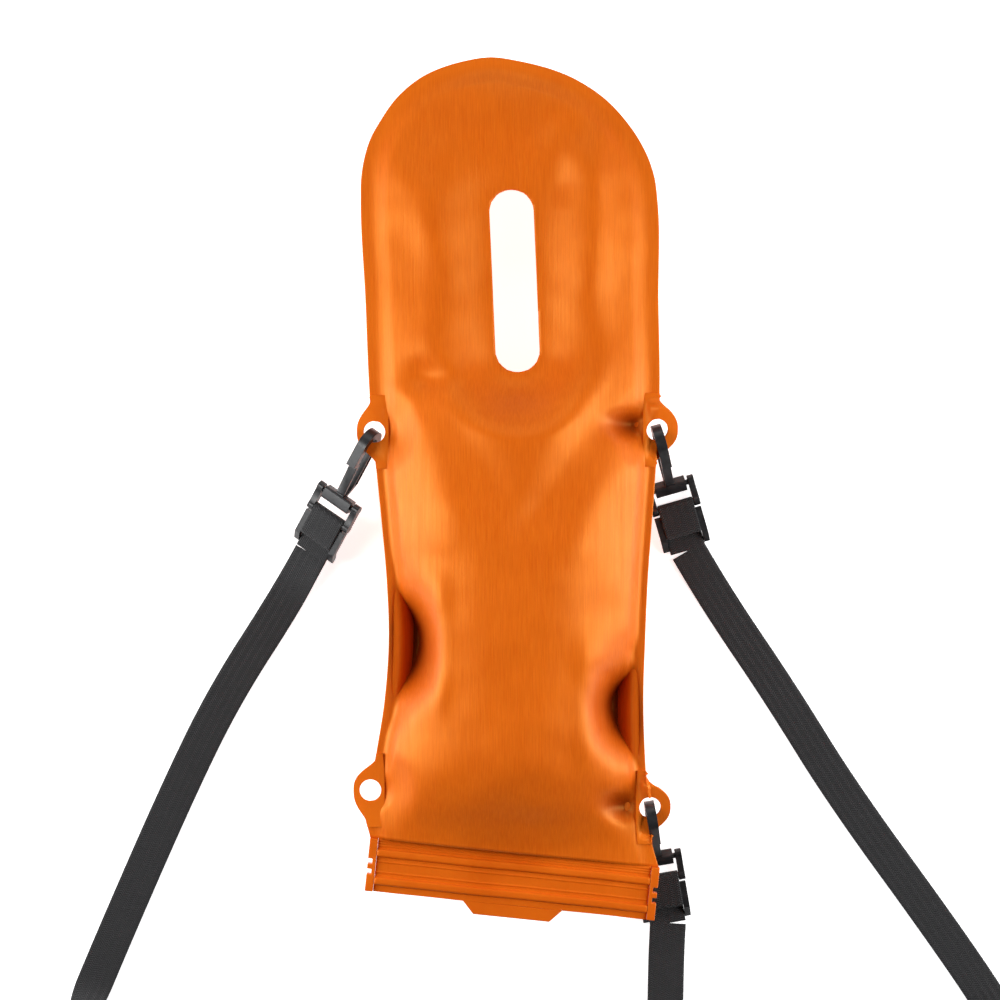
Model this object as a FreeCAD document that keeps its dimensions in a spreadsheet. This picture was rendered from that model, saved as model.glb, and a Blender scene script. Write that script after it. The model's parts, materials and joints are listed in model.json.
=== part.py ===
"""Soft waterproof carry bag with a hand slot, a press-seal mouth and two strap sets.

Frame, in millimetres: X to the right, Y up the bag towards the rounded top, Z up from
the table.  The bag lies on its back; the origin is the middle of the flat resting face.
"""
import math
import os

import FreeCAD
import Part
import Sketcher

V = FreeCAD.Vector
doc = FreeCAD.newDocument("CarryBag")

# ---------------------------------------------------------------- sizes
SIZES = {
    "seam_height": 42.0,
    "panel_gauge": 1.2,
    "flange_width": 14.0,
    "tab_gauge": 2.4,
    "eye_radius": 7.3,
    "ear_radius": 14.5,
    "patch_length": 50.0,
    "patch_width": 9.0,
    "slot_length": 124.0,
    "slot_width": 30.0,
    "rim_wall": 1.5,
    "rim_width": 6.0,
    "rim_gauge": 1.2,
    "strip_half": 93.2,
    "strip_depth": 36.0,
    "strip_gauge": 1.6,
    "rib_width": 5.5,
    "rib_height": 2.6,
    "rib_low": 7.5,
    "rib_high": 26.5,
    "line_width": 0.9,
    "line_height": 0.5,
    "end_band": 5.4,
    "block_long": 9.0,
    "block_wide": 22.0,
    "block_high": 8.4,
    "pin_radius": 1.9,
    "bore_radius": 2.05,
    "arch_outer": 11.5,
    "arch_inner": 6.0,
    "arch_centre": 45.0,
    "hook_width": 6.8,
    "nose_length": 16.0,
    "gate_width": 6.2,
    "gate_root": 1.5,
    "groove_radius": 1.65,
    "loop_half": 17.25,
    "loop_arm": 4.5,
    "loop_bar": 14.0,
    "loop_bar_radius": 2.2,
    "slide_half": 16.75,
    "slide_rail": 4.1,
    "webbing_width": 25.0,
    "webbing_gauge": 1.4,
}
table = doc.addObject("Spreadsheet::Sheet", "Sizes")
for row, (name, value) in enumerate(SIZES.items(), start=1):
    table.set("A%d" % row, name)
    table.set("B%d" % row, str(value))
    table.setAlias("B%d" % row, name)
doc.recompute()


def size(name):
    """Read one size back from the sheet."""
    return float(table.get(name))


SEAM = size("seam_height")
GAUGE = size("panel_gauge")
FLANGE = size("flange_width")
NODES = []


# ---------------------------------------------------------------- helpers
def bind(obj, prop, value):
    """Set a number, or bind the property to an expression on the sheet."""
    if isinstance(value, str):
        obj.setExpression(prop, value)
    else:
        setattr(obj, prop, value)


def box(label, corner, sides):
    """Part box: corner as numbers, sides as numbers or expressions."""
    obj = doc.addObject("Part::Box", label)
    for prop, value in zip(("Length", "Width", "Height"), sides):
        bind(obj, prop, value)
    doc.recompute()
    obj.Placement = FreeCAD.Placement(V(*corner), FreeCAD.Rotation())
    return obj


def mid_box(label, centre, sides):
    """Part box about a centre; its placement follows its own bound sides."""
    obj = doc.addObject("Part::Box", label)
    for prop, value in zip(("Length", "Width", "Height"), sides):
        bind(obj, prop, value)
    for axis, prop, value in zip("xyz", ("Length", "Width", "Height"), centre):
        obj.setExpression("Placement.Base." + axis, "%.6f mm - %s / 2" % (value, prop))
    doc.recompute()
    return obj


def rod(label, centre, axis, radius, length):
    """Part cylinder whose middle is at centre, along axis."""
    obj = doc.addObject("Part::Cylinder", label)
    bind(obj, "Radius", radius)
    bind(obj, "Height", length)
    doc.recompute()
    turn = FreeCAD.Rotation(V(0, 0, 1), V(*axis))
    half = turn.multVec(V(0, 0, float(obj.Height) / 2))
    obj.Placement = FreeCAD.Placement(V(*centre) - half, turn)
    return obj


def prism(label, points, length, turn, base):
    """Closed sketch of straight lines, extruded; turn and base place the sketch."""
    sketch = doc.addObject("Sketcher::SketchObject", label + "_sketch")
    count = len(points)
    for i in range(count):
        a = points[i]
        b = points[(i + 1) % count]
        sketch.addGeometry(Part.LineSegment(V(a[0], a[1], 0), V(b[0], b[1], 0)), False)
    for i in range(count):
        sketch.addConstraint(Sketcher.Constraint("Coincident", i, 2, (i + 1) % count, 1))
    for i in range(count):
        sketch.addConstraint(Sketcher.Constraint("Block", i))
    sketch.Placement = FreeCAD.Placement(V(*base), turn)
    solid = doc.addObject("Part::Extrusion", label)
    solid.Base = sketch
    solid.DirMode = "Normal"
    solid.Solid = True
    bind(solid, "LengthFwd", length)
    doc.recompute()
    return solid


def fuse(label, shapes):
    """Union of several pieces."""
    obj = doc.addObject("Part::MultiFuse", label)
    obj.Shapes = shapes
    obj.Refine = True
    doc.recompute()
    return obj


def cut(label, base, tool):
    """Base less tool."""
    obj = doc.addObject("Part::Cut", label)
    obj.Base = base
    obj.Tool = tool
    doc.recompute()
    return obj


def shaped(label, shape):
    """Free-form piece that no primitive or sketch gives."""
    obj = doc.addObject("Part::Feature", label)
    obj.Shape = shape
    return obj


def node(obj, name):
    """Name a finished piece; it is written out under this name."""
    obj.Label = name
    NODES.append(obj)
    return obj


def smooth(t):
    """Smoothstep between 0 and 1."""
    t = min(1.0, max(0.0, t))
    return t * t * (3.0 - 2.0 * t)


def along(table_rows, y, column=1):
    """Straight-line reading of a table of rows sorted by falling y."""
    if y >= table_rows[0][0]:
        return table_rows[0][column]
    for upper, lower in zip(table_rows, table_rows[1:]):
        if y >= lower[0]:
            t = (upper[0] - y) / (upper[0] - lower[0])
            return upper[column] + t * (lower[column] - upper[column])
    return table_rows[-1][column]


# ---------------------------------------------------------------- bag outline
# rows of y, left edge, right edge: rounded top, full shoulders, waist, mouth
OUTLINE = [
    (293.2, -30.6, 4.0),
    (280.0, -63.9, 44.9),
    (266.6, -78.9, 64.6),
    (253.0, -88.4, 77.5),
    (239.4, -95.9, 87.0),
    (225.8, -100.0, 93.8),
    (212.0, -102.0, 97.9),
    (198.6, -102.2, 99.5),
    (130.6, -99.0, 100.2),
    (62.6, -95.9, 100.9),
    (21.8, -92.3, 98.8),
    (-19.0, -88.2, 95.9),
    (-59.8, -84.6, 93.0),
    (-100.6, -83.2, 91.2),
    (-141.4, -86.0, 90.0),
    (-182.0, -92.4, 91.2),
    (-222.0, -98.8, 94.0),
    (-236.6, -100.6, 95.4),
]
MOUTH_TURN = math.radians(-5.9)
MOUTH = V(-1.05, -280.8, 0.0)
ACROSS = V(math.cos(MOUTH_TURN), math.sin(MOUTH_TURN), 0.0)
UPWARD = V(-math.sin(MOUTH_TURN), math.cos(MOUTH_TURN), 0.0)


def mouth_point(across, up, z=0.0):
    """Point in the frame of the mouth: along it, up the bag from its lower edge, z."""
    return MOUTH + ACROSS * across + UPWARD * up + V(0, 0, z)


mouth_top = size("strip_depth") + 0.3
low_left = mouth_point(-99.4, mouth_top)
low_right = mouth_point(98.0, mouth_top)
left_side = [V(r[1], r[0], 0) for r in OUTLINE] + [low_left]
right_side = [V(r[2], r[0], 0) for r in OUTLINE] + [low_right]
APEX = V(-13.5, 295.6, 0)
loop_points = list(reversed(left_side)) + [APEX] + right_side
edge_curve = Part.BSplineCurve()
edge_curve.interpolate(loop_points)
outline_face = Part.Face(Part.Wire([edge_curve.toShape(), Part.LineSegment(low_right, low_left).toShape()]))

# ---------------------------------------------------------------- hand slot
SLOT = V(2.4, 143.5, 0.0)
SLOT_LEAN = math.radians(2.5)
SLOT_WAY = V(math.sin(SLOT_LEAN), -math.cos(SLOT_LEAN), 0.0)


def stadium(length, width, low, high):
    """Upright prism with round ends about the slot's own middle and lean."""
    r = width / 2.0
    a = length / 2.0 - r
    side = V(0, 0, 1).cross(SLOT_WAY)
    p1 = SLOT + SLOT_WAY * a + side * r
    p2 = SLOT + SLOT_WAY * a - side * r
    p3 = SLOT - SLOT_WAY * a - side * r
    p4 = SLOT - SLOT_WAY * a + side * r
    end1 = SLOT + SLOT_WAY * (a + r)
    end2 = SLOT - SLOT_WAY * (a + r)
    edges = [
        Part.Arc(p1, end1, p2).toShape(),
        Part.LineSegment(p2, p3).toShape(),
        Part.Arc(p3, end2, p4).toShape(),
        Part.LineSegment(p4, p1).toShape(),
    ]
    face = Part.Face(Part.Wire(edges))
    face.translate(V(0, 0, low))
    return face.extrude(V(0, 0, high - low))


def slot_gap(x, y):
    """Distance outward from the slot's edge."""
    d = V(x, y, 0) - SLOT
    t = d.dot(SLOT_WAY)
    half = size("slot_length") / 2.0 - size("slot_width") / 2.0
    t = max(-half, min(half, t))
    return (d - SLOT_WAY * t).Length - size("slot_width") / 2.0


# ---------------------------------------------------------------- filled shape
# crest height of the front over the seam, and depth of the back below it
FRONT_CREST = [
    (290.0, 0.0),
    (262.0, 8.0),
    (215.0, 17.0),
    (150.0, 21.0),
    (90.0, 27.0),
    (50.0, 35.0),
    (0.0, 39.5),
    (-60.0, 41.0),
    (-130.0, 39.0),
    (-175.0, 31.0),
    (-205.0, 19.0),
    (-225.0, 10.0),
    (-245.0, 5.2),
    (-300.0, 5.2),
]
BACK_CREST = [
    (290.0, 0.0),
    (262.0, 12.0),
    (215.0, 26.0),
    (150.0, 34.0),
    (90.0, 43.0),
    (40.0, 51.0),
    (-20.0, 54.0),
    (-90.0, 54.0),
    (-150.0, 50.0),
    (-185.0, 38.0),
    (-210.0, 20.0),
    (-230.0, 9.0),
    (-246.0, 3.0),
    (-300.0, 3.0),
]


def eye_room(x, y):
    """0 beside an eyelet, rising smoothly to 1 where its tab is well clear."""
    gap = min(math.hypot(x - eye["at"].x, y - eye["at"].y) for eye in EYES.values())
    return smooth((gap - EYE_CLEAR) / EYE_FADE)


def swell(x, y, crest, deepest):
    """Height of one panel off the seam plane at x, y."""
    left = along([(r[0], r[1]) for r in OUTLINE], y) + FLANGE
    right = along([(r[0], r[2]) for r in OUTLINE], y) - FLANGE
    if y > OUTLINE[0][0] or right - left < 8.0:
        return 0.0
    s = (2.0 * x - left - right) / (right - left)
    if abs(s) >= 1.0:
        return 0.0
    h = along(crest, y) * (1.0 - s * s) ** 0.9
    h = h * smooth((slot_gap(x, y) - 17.0) / 34.0) * eye_room(x, y)
    return min(h, deepest)


def panel(crest, deepest, sign, low_face):
    """Sheet of one panel: a cubic surface on a grid of control heights, thickened."""
    nx = 49
    ny = 97
    poles = []
    for i in range(nx):
        column = []
        for j in range(ny):
            x = -128.0 + 256.0 * i / (nx - 1)
            y = -330.0 + 660.0 * j / (ny - 1)
            column.append(V(x, y, low_face + sign * swell(x, y, crest, deepest)))
        poles.append(column)

    def knots(count):
        inner = count - 3
        return [4] + [1] * (inner - 1) + [4], [float(k) for k in range(inner + 1)]

    um, uk = knots(nx)
    vm, vk = knots(ny)
    surface = Part.BSplineSurface()
    surface.buildFromPolesMultsKnots(poles, um, vm, uk, vk, False, False, 3, 3)
    return surface.toShape().extrude(V(0, 0, GAUGE))


# ---------------------------------------------------------------- eyelets and hooks
EYE_CLEAR = 28.0
EYE_FADE = 22.0
# hole centre, strap heading, hook pitch and roll, ear droop; in is the side the bag lies on
UL_WAY = V(-0.487, -0.873, 0).normalize()
UR_WAY = V(0.276, -0.961, 0).normalize()
LR_WAY = V(0.17, -0.985, 0).normalize()
LL_WAY = V(-0.3, -0.954, 0)
EYES = {
    "upper_left": dict(at=V(-92.8, 40.8, 0), way=UL_WAY, pitch=19.0, roll=15.0, droop=8.0),
    "upper_right": dict(at=V(99.3, 42.2, 0), way=UR_WAY, pitch=44.0, roll=0.0, droop=25.0),
    "lower_left": dict(at=V(-95.5, -202.4, 0), way=LL_WAY, pitch=0.0, roll=0.0, droop=0.0),
    "lower_right": dict(at=V(94.4, -214.2, 0), way=LR_WAY, pitch=44.0, roll=0.0, droop=25.0),
}
for tab_name, tab_eye in EYES.items():
    tab_eye["in"] = 1 if tab_name.endswith("left") else -1
EYE_Z = SEAM + GAUGE + size("tab_gauge") / 2.0
CROWN_OFFSET = 1.5
CROWN = size("arch_centre") + (size("arch_outer") + size("arch_inner")) / 2.0


def heading(way, pitch, roll):
    """Rotation whose local X runs along way and down by pitch, then rolled about it."""
    p = math.radians(pitch)
    u = way * math.cos(p) + V(0, 0, -math.sin(p))
    v = V(0, 0, 1).cross(way).normalize()
    w = u.cross(v)
    m = FreeCAD.Matrix(u.x, v.x, w.x, 0, u.y, v.y, w.y, 0, u.z, v.z, w.z, 0, 0, 0, 0, 1)
    return FreeCAD.Rotation(m).multiply(FreeCAD.Rotation(V(1, 0, 0), roll))


for eye in EYES.values():
    d = math.radians(eye["droop"])
    p = math.radians(eye["pitch"])
    crown = eye["at"] + V(0, 0, EYE_Z) + (eye["way"] * math.cos(d) - V(0, 0, math.sin(d))) * CROWN_OFFSET
    eye["pin"] = crown + (eye["way"] * math.cos(p) - V(0, 0, math.sin(p))) * CROWN

# ---------------------------------------------------------------- panels
LANE_HALF = 9.0
notches = []
for eye in EYES.values():
    ring = Part.makeCylinder(size("ear_radius") + 1.2, 60.0, eye["at"] + V(0, 0, 15))
    lower = Part.makeBox(80, 60, 60, V(0, -60, 0))
    lower.translate(eye["at"] + V(-40, 3.0, 15))
    if eye["in"] > 0:
        side = Part.makeBox(60, 80, 60, eye["at"] + V(-60 + 9.0, -40, 15))
    else:
        side = Part.makeBox(60, 80, 60, eye["at"] + V(-9.0, -40, 15))
    notch = ring.common(side).common(lower)
    bore = Part.makeCylinder(size("eye_radius") + 1.0, 60.0, eye["at"] + V(0, 0, 15))
    lane = Part.makeBox(30, 2 * LANE_HALF, 60, V(0, -LANE_HALF, 15))
    angle = math.degrees(math.atan2(eye["way"].y, eye["way"].x))
    lane.rotate(V(0, 0, 0), V(0, 0, 1), angle)
    lane.translate(eye["at"])
    notches.append(notch.fuse(bore.common(side)).fuse(lane.common(side)))

slot_tool = stadium(
    size("slot_length") + 2 * size("rim_wall"),
    size("slot_width") + 2 * size("rim_wall"),
    -10.0,
    120.0,
)
outline_prism = outline_face.copy()
outline_prism.translate(V(0, 0, -20))
outline_prism = outline_prism.extrude(V(0, 0, 160))


def trimmed(sheet_solid):
    """Panel cut to the outline, the slot and the notches at the eyelets."""
    out = sheet_solid.common(outline_prism)
    out = out.cut(slot_tool)
    for notch in notches:
        out = out.cut(notch)
    return out.Solids[0] if len(out.Solids) == 1 else max(out.Solids, key=lambda s: s.Volume)


FLATTENED = 0.4  # the back panel's outer skin is pressed this much thinner where it rests
front_shape = trimmed(panel(FRONT_CREST, 60.0, 1.0, SEAM))
back_shape = trimmed(panel(BACK_CREST, SEAM - GAUGE + FLATTENED, -1.0, SEAM - GAUGE))
back_shape = back_shape.cut(Part.makeBox(400, 800, 20, V(-200, -400, -20)))
node(shaped("FrontPanel", front_shape), "front_panel")
node(shaped("BackPanel", back_shape), "back_panel")

# ---------------------------------------------------------------- slot rim
rim_top = SEAM + GAUGE
rim_low = SEAM - GAUGE
rim_grow = 2 * size("rim_width")
rim_wall = 2 * size("rim_wall")
rim = stadium(size("slot_length") + rim_wall, size("slot_width") + rim_wall, rim_low, rim_top)
for low, high in ((rim_top, rim_top + size("rim_gauge")), (rim_low - size("rim_gauge"), rim_low)):
    rim = rim.fuse(stadium(size("slot_length") + rim_grow, size("slot_width") + rim_grow, low, high))
rim = rim.cut(stadium(size("slot_length"), size("slot_width"), -10.0, 120.0)).removeSplitter()
node(shaped("HandSlotRim", rim), "hand_slot_rim")

# ---------------------------------------------------------------- lash tabs
TAB_LANE_HALF = 8.0
for name, eye in EYES.items():
    gauge = size("tab_gauge")
    inward = eye["in"]
    patch = mid_box(
        "Patch_" + name,
        (eye["at"].x + inward * size("patch_width") / 2.0, eye["at"].y, EYE_Z),
        ("Sizes.patch_width", "Sizes.patch_length", "Sizes.tab_gauge"),
    )
    lane = box("Lane_" + name, (0, 0, 0), (30.0, 2 * TAB_LANE_HALF, 20.0))
    along_way = heading(eye["way"], 0.0, 0.0)
    lane.Placement = FreeCAD.Placement(
        eye["at"] + V(0, 0, EYE_Z) + along_way.multVec(V(0, -TAB_LANE_HALF, -10)),
        along_way,
    )
    if eye["droop"] > 0:
        patch = cut("PatchCut_" + name, patch, lane)
    ear = doc.addObject("Part::Cylinder", "Ear_" + name)
    bind(ear, "Radius", "Sizes.ear_radius")
    bind(ear, "Height", "Sizes.tab_gauge")
    doc.recompute()
    droop = heading(eye["way"], eye["droop"], 0.0)
    ear.Placement = FreeCAD.Placement(eye["at"] + V(0, 0, EYE_Z) + droop.multVec(V(0, 0, -gauge / 2)), droop)
    joined = fuse("Tab_" + name, [patch, ear])
    hole = doc.addObject("Part::Cylinder", "Eye_" + name)
    bind(hole, "Radius", "Sizes.eye_radius")
    hole.Height = 30.0
    doc.recompute()
    hole.Placement = FreeCAD.Placement(eye["at"] + V(0, 0, EYE_Z) + droop.multVec(V(0, 0, -15)), droop)
    holed = cut("TabHoled_" + name, joined, hole)
    inboard = box(
        "Inboard_" + name,
        (eye["at"].x + (9.0 if inward > 0 else -49.0), eye["at"].y - 40, EYE_Z - 20),
        (40.0, 80.0, 40.0),
    )
    trimmed_tab = cut("TabTrimmed_" + name, holed, inboard)
    under = box(
        "Under_" + name,
        (eye["at"].x + (-0.5 if inward > 0 else -9.5), eye["at"].y + 3.0, SEAM + GAUGE - 20),
        (10.0, 40.0, 20.0),
    )
    node(cut("LashTab_" + name, trimmed_tab, under), "lash_tab_" + name)

# ---------------------------------------------------------------- press-seal mouth
MOUTH_ROT = FreeCAD.Rotation(V(0, 0, 1), -5.9)


def in_mouth(obj):
    """Place a piece that was drawn in the frame of the mouth."""
    obj.Placement = FreeCAD.Placement(MOUTH, MOUTH_ROT).multiply(obj.Placement)
    return obj


for side, name in ((1, "closure_front_strip"), (-1, "closure_back_strip")):
    gap = 0.05
    plate_mid = SEAM + side * (gap + size("strip_gauge") / 2)
    rib_mid = SEAM + side * (gap + size("strip_gauge") + size("rib_height") / 2 - 0.1)
    line_mid = SEAM + side * (gap + size("strip_gauge") + size("line_height") / 2 - 0.05)
    pieces = [
        mid_box(
            name + "_plate",
            (0, size("strip_depth") / 2, plate_mid),
            ("2 * Sizes.strip_half", "Sizes.strip_depth", "Sizes.strip_gauge"),
        )
    ]
    for rib in ("rib_low", "rib_high"):
        pieces.append(
            mid_box(
                name + "_" + rib,
                (0, size(rib), rib_mid),
                ("2 * Sizes.strip_half", "Sizes.rib_width", "Sizes.rib_height + 0.2"),
            )
        )
    for k in range(3):
        pieces.append(
            mid_box(
                name + "_line%d" % k,
                (0, 30.9 + 1.8 * k, line_mid),
                ("2 * Sizes.strip_half", "Sizes.line_width", "Sizes.line_height + 0.1"),
            )
        )
    node(in_mouth(fuse(name + "_whole", pieces)), name)
    tab = prism(
        name + "_pull",
        [(-32.0, 0.0), (-24.0, -8.5), (28.0, -8.5), (36.0, 0.0)],
        "Sizes.strip_gauge",
        FreeCAD.Rotation(),
        (0, 0, SEAM + gap if side > 0 else SEAM - gap - size("strip_gauge")),
    )
    node(in_mouth(tab), "front_pull_tab" if side > 0 else "back_pull_tab")

for side, name in ((-1, "closure_end_left"), (1, "closure_end_right")):
    half = size("strip_half") + 0.25
    mid = half + size("end_band") / 2
    band = mid_box(
        name + "_band",
        (side * mid, size("strip_depth") / 2, SEAM),
        ("Sizes.end_band", "Sizes.strip_depth", "2 * (Sizes.strip_gauge + Sizes.rib_height)"),
    )
    gaps = []
    for k, up in enumerate((13.5, 20.5)):
        gaps.append(
            mid_box(name + "_gap%d" % k, (side * (mid + 1.6), up, SEAM), (4.0, 3.6, 30.0))
        )
    node(in_mouth(cut(name + "_notched", band, fuse(name + "_gaps", gaps))), name)


# ---------------------------------------------------------------- snap hooks
def hook_body(tag):
    """Snap hook: cross block, offset spine, arch and nose; local X away from the eye."""
    width = "Sizes.hook_width"
    upright = FreeCAD.Rotation(V(1, 0, 0), 90)
    half = size("hook_width") / 2
    block = mid_box(tag + "_block", (0, 0, 0), ("Sizes.block_long", "Sizes.block_wide", "Sizes.block_high"))
    rounded = doc.addObject("Part::Fillet", tag + "_block_round")
    rounded.Base = block
    long_edges = []
    for i, edge in enumerate(block.Shape.Edges, start=1):
        a, b = edge.Vertexes[0].Point, edge.Vertexes[1].Point
        if abs(a.y - b.y) > 5:
            long_edges.append((i, 1.8, 1.8))
    rounded.Edges = long_edges
    doc.recompute()
    disc = rod(tag + "_arch_disc", (-45.0, 0, 0), (0, 1, 0), "Sizes.arch_outer", width)
    half_space = box(tag + "_arch_keep", (-80.0, -20.0, -20.0), (35.0, 40.0, 40.0))
    arch = doc.addObject("Part::Common", tag + "_arch_half")
    arch.Base = disc
    arch.Tool = half_space
    doc.recompute()
    strand = "Sizes.arch_outer - Sizes.arch_inner"
    level = (size("arch_outer") + size("arch_inner")) / 2
    nose = mid_box(tag + "_nose", (-37.0, 0, level), ("Sizes.nose_length", width, strand))
    spine = prism(
        tag + "_spine",
        [(-45.0, -11.5), (-13.0, -11.5), (-3.5, -4.0), (3.0, -4.0), (3.0, -1.0), (-4.4, -1.0), (-8.0, -4.6),
         (-12.5, -6.0), (-45.0, -6.0)],
        width,
        upright,
        (0, half, 0),
    )
    whole = fuse(tag + "_solid", [rounded, arch, nose, spine])
    opening = rod(tag + "_arch_open", (-45.0, 0, 0), (0, 1, 0), "Sizes.arch_inner", 40.0)
    groove = rod(tag + "_groove", (-4.6, 0, 1.6), (0, 1, 0), "Sizes.groove_radius", 6.8)
    mouth = prism(
        tag + "_groove_mouth",
        [(-4.0, 0.1), (-4.0, 3.1), (-9.0, 4.6), (-9.0, -0.9)],
        6.8,
        upright,
        (0, 3.4, 0),
    )
    tools = [opening, groove, mouth]
    for sign in (-1, 1):
        tools.append(rod(tag + "_bore%d" % sign, (0, sign * 9.2, 0), (0, 1, 0), "Sizes.bore_radius", 4.4))
        tools.append(mid_box(tag + "_web%d" % sign, (-27.0, sign * 3.4, -8.75), (30.0, 2.8, 2.9)))
    return cut(tag + "_body", whole, fuse(tag + "_tools", tools))


def hook_gate(tag):
    """Gate tongue: a round root in the block's groove and a blade under the nose."""
    upright = FreeCAD.Rotation(V(1, 0, 0), 90)
    half = size("gate_width") / 2
    root = rod(tag + "_root", (-4.6, 0, 1.6), (0, 1, 0), "Sizes.gate_root", "Sizes.gate_width")
    blade = prism(
        tag + "_blade",
        [(-4.8, 0.7), (-31.0, 3.0), (-31.0, 5.75), (-28.0, 5.75), (-4.8, 2.5)],
        "Sizes.gate_width",
        upright,
        (0, half, 0),
    )
    return fuse(tag + "_gate", [root, blade])


def hook_loop(tag):
    """Webbing loop: two arms with inward pins in the block, joined by a round bar."""
    pieces = []
    half = size("loop_half")
    arm_mid = half - size("loop_arm") / 2
    for sign in (-1, 1):
        pieces.append(
            mid_box(tag + "_arm%d" % sign, (6.5, sign * arm_mid, 0), (15.5, "Sizes.loop_arm", 5.2))
        )
        pieces.append(rod(tag + "_eye%d" % sign, (-1.2, sign * arm_mid, 0), (0, 1, 0), 3.3, "Sizes.loop_arm"))
        pieces.append(
            rod(tag + "_foot%d" % sign, (14.0, sign * arm_mid, 0), (0, 1, 0), 3.3, "Sizes.loop_arm")
        )
        pieces.append(rod(tag + "_pin%d" % sign, (0, sign * 10.4, 0), (0, 1, 0), "Sizes.pin_radius", 6.0))
    pieces.append(
        rod(tag + "_bar", (14.0, 0, 0), (0, 1, 0), "Sizes.loop_bar_radius", "2 * (Sizes.loop_half - 2)")
    )
    return fuse(tag + "_loop", pieces)


def slide(tag):
    """Three-bar slide: stepped rails, near and middle bars over the strap, far bar under."""
    upright = FreeCAD.Rotation(V(1, 0, 0), 90)
    pieces = []
    half = size("slide_half")
    rail = [(18.3, -2.0), (34.5, -2.0), (39.3, -5.7), (43.3, -5.7), (43.3, -3.6), (36.5, 2.0), (18.3, 2.0)]
    for sign in (-1, 1):
        base = half if sign > 0 else -(half - size("slide_rail"))
        pieces.append(prism(tag + "_rail%d" % sign, rail, "Sizes.slide_rail", upright, (0, base, 0)))
    span = "2 * Sizes.slide_half - 2"
    pieces.append(mid_box(tag + "_near", (20.2, 0, 0.2), (3.8, span, 3.2)))
    pieces.append(mid_box(tag + "_mid", (30.8, 0, 0.4), (4.2, span, 2.2)))
    pieces.append(mid_box(tag + "_far", (41.3, 0, -4.85), (4.0, span, 1.7)))
    return fuse(tag + "_slide", pieces)


def arc_points(cx, cz, r, start, stop, count):
    """Points on an arc in the local side view, angles in degrees."""
    out = []
    for k in range(count + 1):
        a = math.radians(start + (stop - start) * k / count)
        out.append((cx + r * math.cos(a), cz + r * math.sin(a)))
    return out


def band_outline(path, thick):
    """Closed outline of a strip of even thickness about a path in the side view."""
    left = []
    right = []
    last = len(path) - 1
    for i, (x, z) in enumerate(path):
        a = path[max(i - 1, 0)]
        b = path[min(i + 1, last)]
        n = math.hypot(b[0] - a[0], b[1] - a[1])
        nx = -(b[1] - a[1]) / n * thick / 2
        nz = (b[0] - a[0]) / n * thick / 2
        left.append((x + nx, z + nz))
        right.append((x - nx, z - nz))
    return left + right[::-1]


BACK_LEVEL = -3.1
FOLD_END = 46.0


def strap_fold(tag):
    """Webbing through loop and slide: sewn round the middle bar, over the near bar,
    round the loop's bar and back beneath to where the strap leaves."""
    gauge = size("webbing_gauge")
    path = [(29.4, -1.5)]
    path += arc_points(32.6, 0.4, 1.92, -92, 92, 8)
    path += [(31.6, 2.38), (27.0, 2.75)]
    path += arc_points(14.0, 0.0, size("loop_bar_radius") + 0.05 + gauge / 2, 84, 262, 14)
    path += [(18.0, BACK_LEVEL), (FOLD_END, BACK_LEVEL)]
    ring = band_outline(path, gauge)
    turn = FreeCAD.Rotation(V(1, 0, 0), 90)
    return prism(tag + "_fold", ring, "Sizes.webbing_width", turn, (0, size("webbing_width") / 2, 0))


SPARE_PIN = V(78.0, -456.0, 6.5)
LOOPS = {
    "upper_left": {"pin": EYES["upper_left"]["pin"], "rot": heading(UL_WAY, 19.0, 15.0)},
    "upper_right": {"pin": EYES["upper_right"]["pin"], "rot": heading(UR_WAY, 0.0, 0.0)},
    "lower_right": {"pin": EYES["lower_right"]["pin"], "rot": heading(LR_WAY, 0.0, 0.0)},
    "spare": {"pin": SPARE_PIN, "rot": heading(V(1, 0, 0), 0.0, 0.0)},
}
HOOKS = {
    "upper_left": heading(UL_WAY, 19.0, 15.0),
    "upper_right": heading(UR_WAY, 44.0, 0.0),
    "lower_right": heading(LR_WAY, 44.0, 0.0),
    "spare": heading(V(1, 0, 0), 11.0, 180.0),
}
for name, loop in LOOPS.items():
    at_hook = FreeCAD.Placement(loop["pin"], HOOKS[name])
    at_loop = FreeCAD.Placement(loop["pin"], loop["rot"])
    for maker, prefix, place in (
        (hook_body, "hook_body_", at_hook),
        (hook_gate, "hook_gate_", at_hook),
        (hook_loop, "hook_loop_", at_loop),
        (slide, "adjuster_", at_loop),
        (strap_fold, "strap_fold_", at_loop),
    ):
        made = maker(prefix + "draft_" + name)
        made.Placement = place
        node(made, prefix + name)


# ---------------------------------------------------------------- straps
def corner_route(points):
    """Straight runs with tangent arcs at the corners, as a list of samples (x, y)."""
    out = [V(*points[0], 0)]
    for i in range(1, len(points) - 1):
        p = V(*points[i], 0)
        run_a = (V(*points[i - 1], 0) - p).Length
        run_b = (V(*points[i + 1], 0) - p).Length
        a = (V(*points[i - 1], 0) - p).normalize()
        b = (V(*points[i + 1], 0) - p).normalize()
        turn = math.pi - math.acos(max(-1.0, min(1.0, a.dot(b))))
        back = 0.45 * min(run_a, run_b)
        radius = back / math.tan(turn / 2)
        start = p + a * back
        stop = p + b * back
        centre = p + (a + b).normalize() * (radius / math.cos(turn / 2))
        steps = max(3, int(math.degrees(turn) / 9))
        r0 = start - centre
        r1 = stop - centre
        for k in range(steps + 1):
            t = k / steps
            w0 = math.sin((1 - t) * turn) / math.sin(turn)
            w1 = math.sin(t * turn) / math.sin(turn)
            out.append(centre + r0 * w0 + r1 * w1)
        print("strap arc radius %.0f mm, turn %.0f deg" % (radius, math.degrees(turn)))
    out.append(V(*points[-1], 0))
    return out


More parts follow.
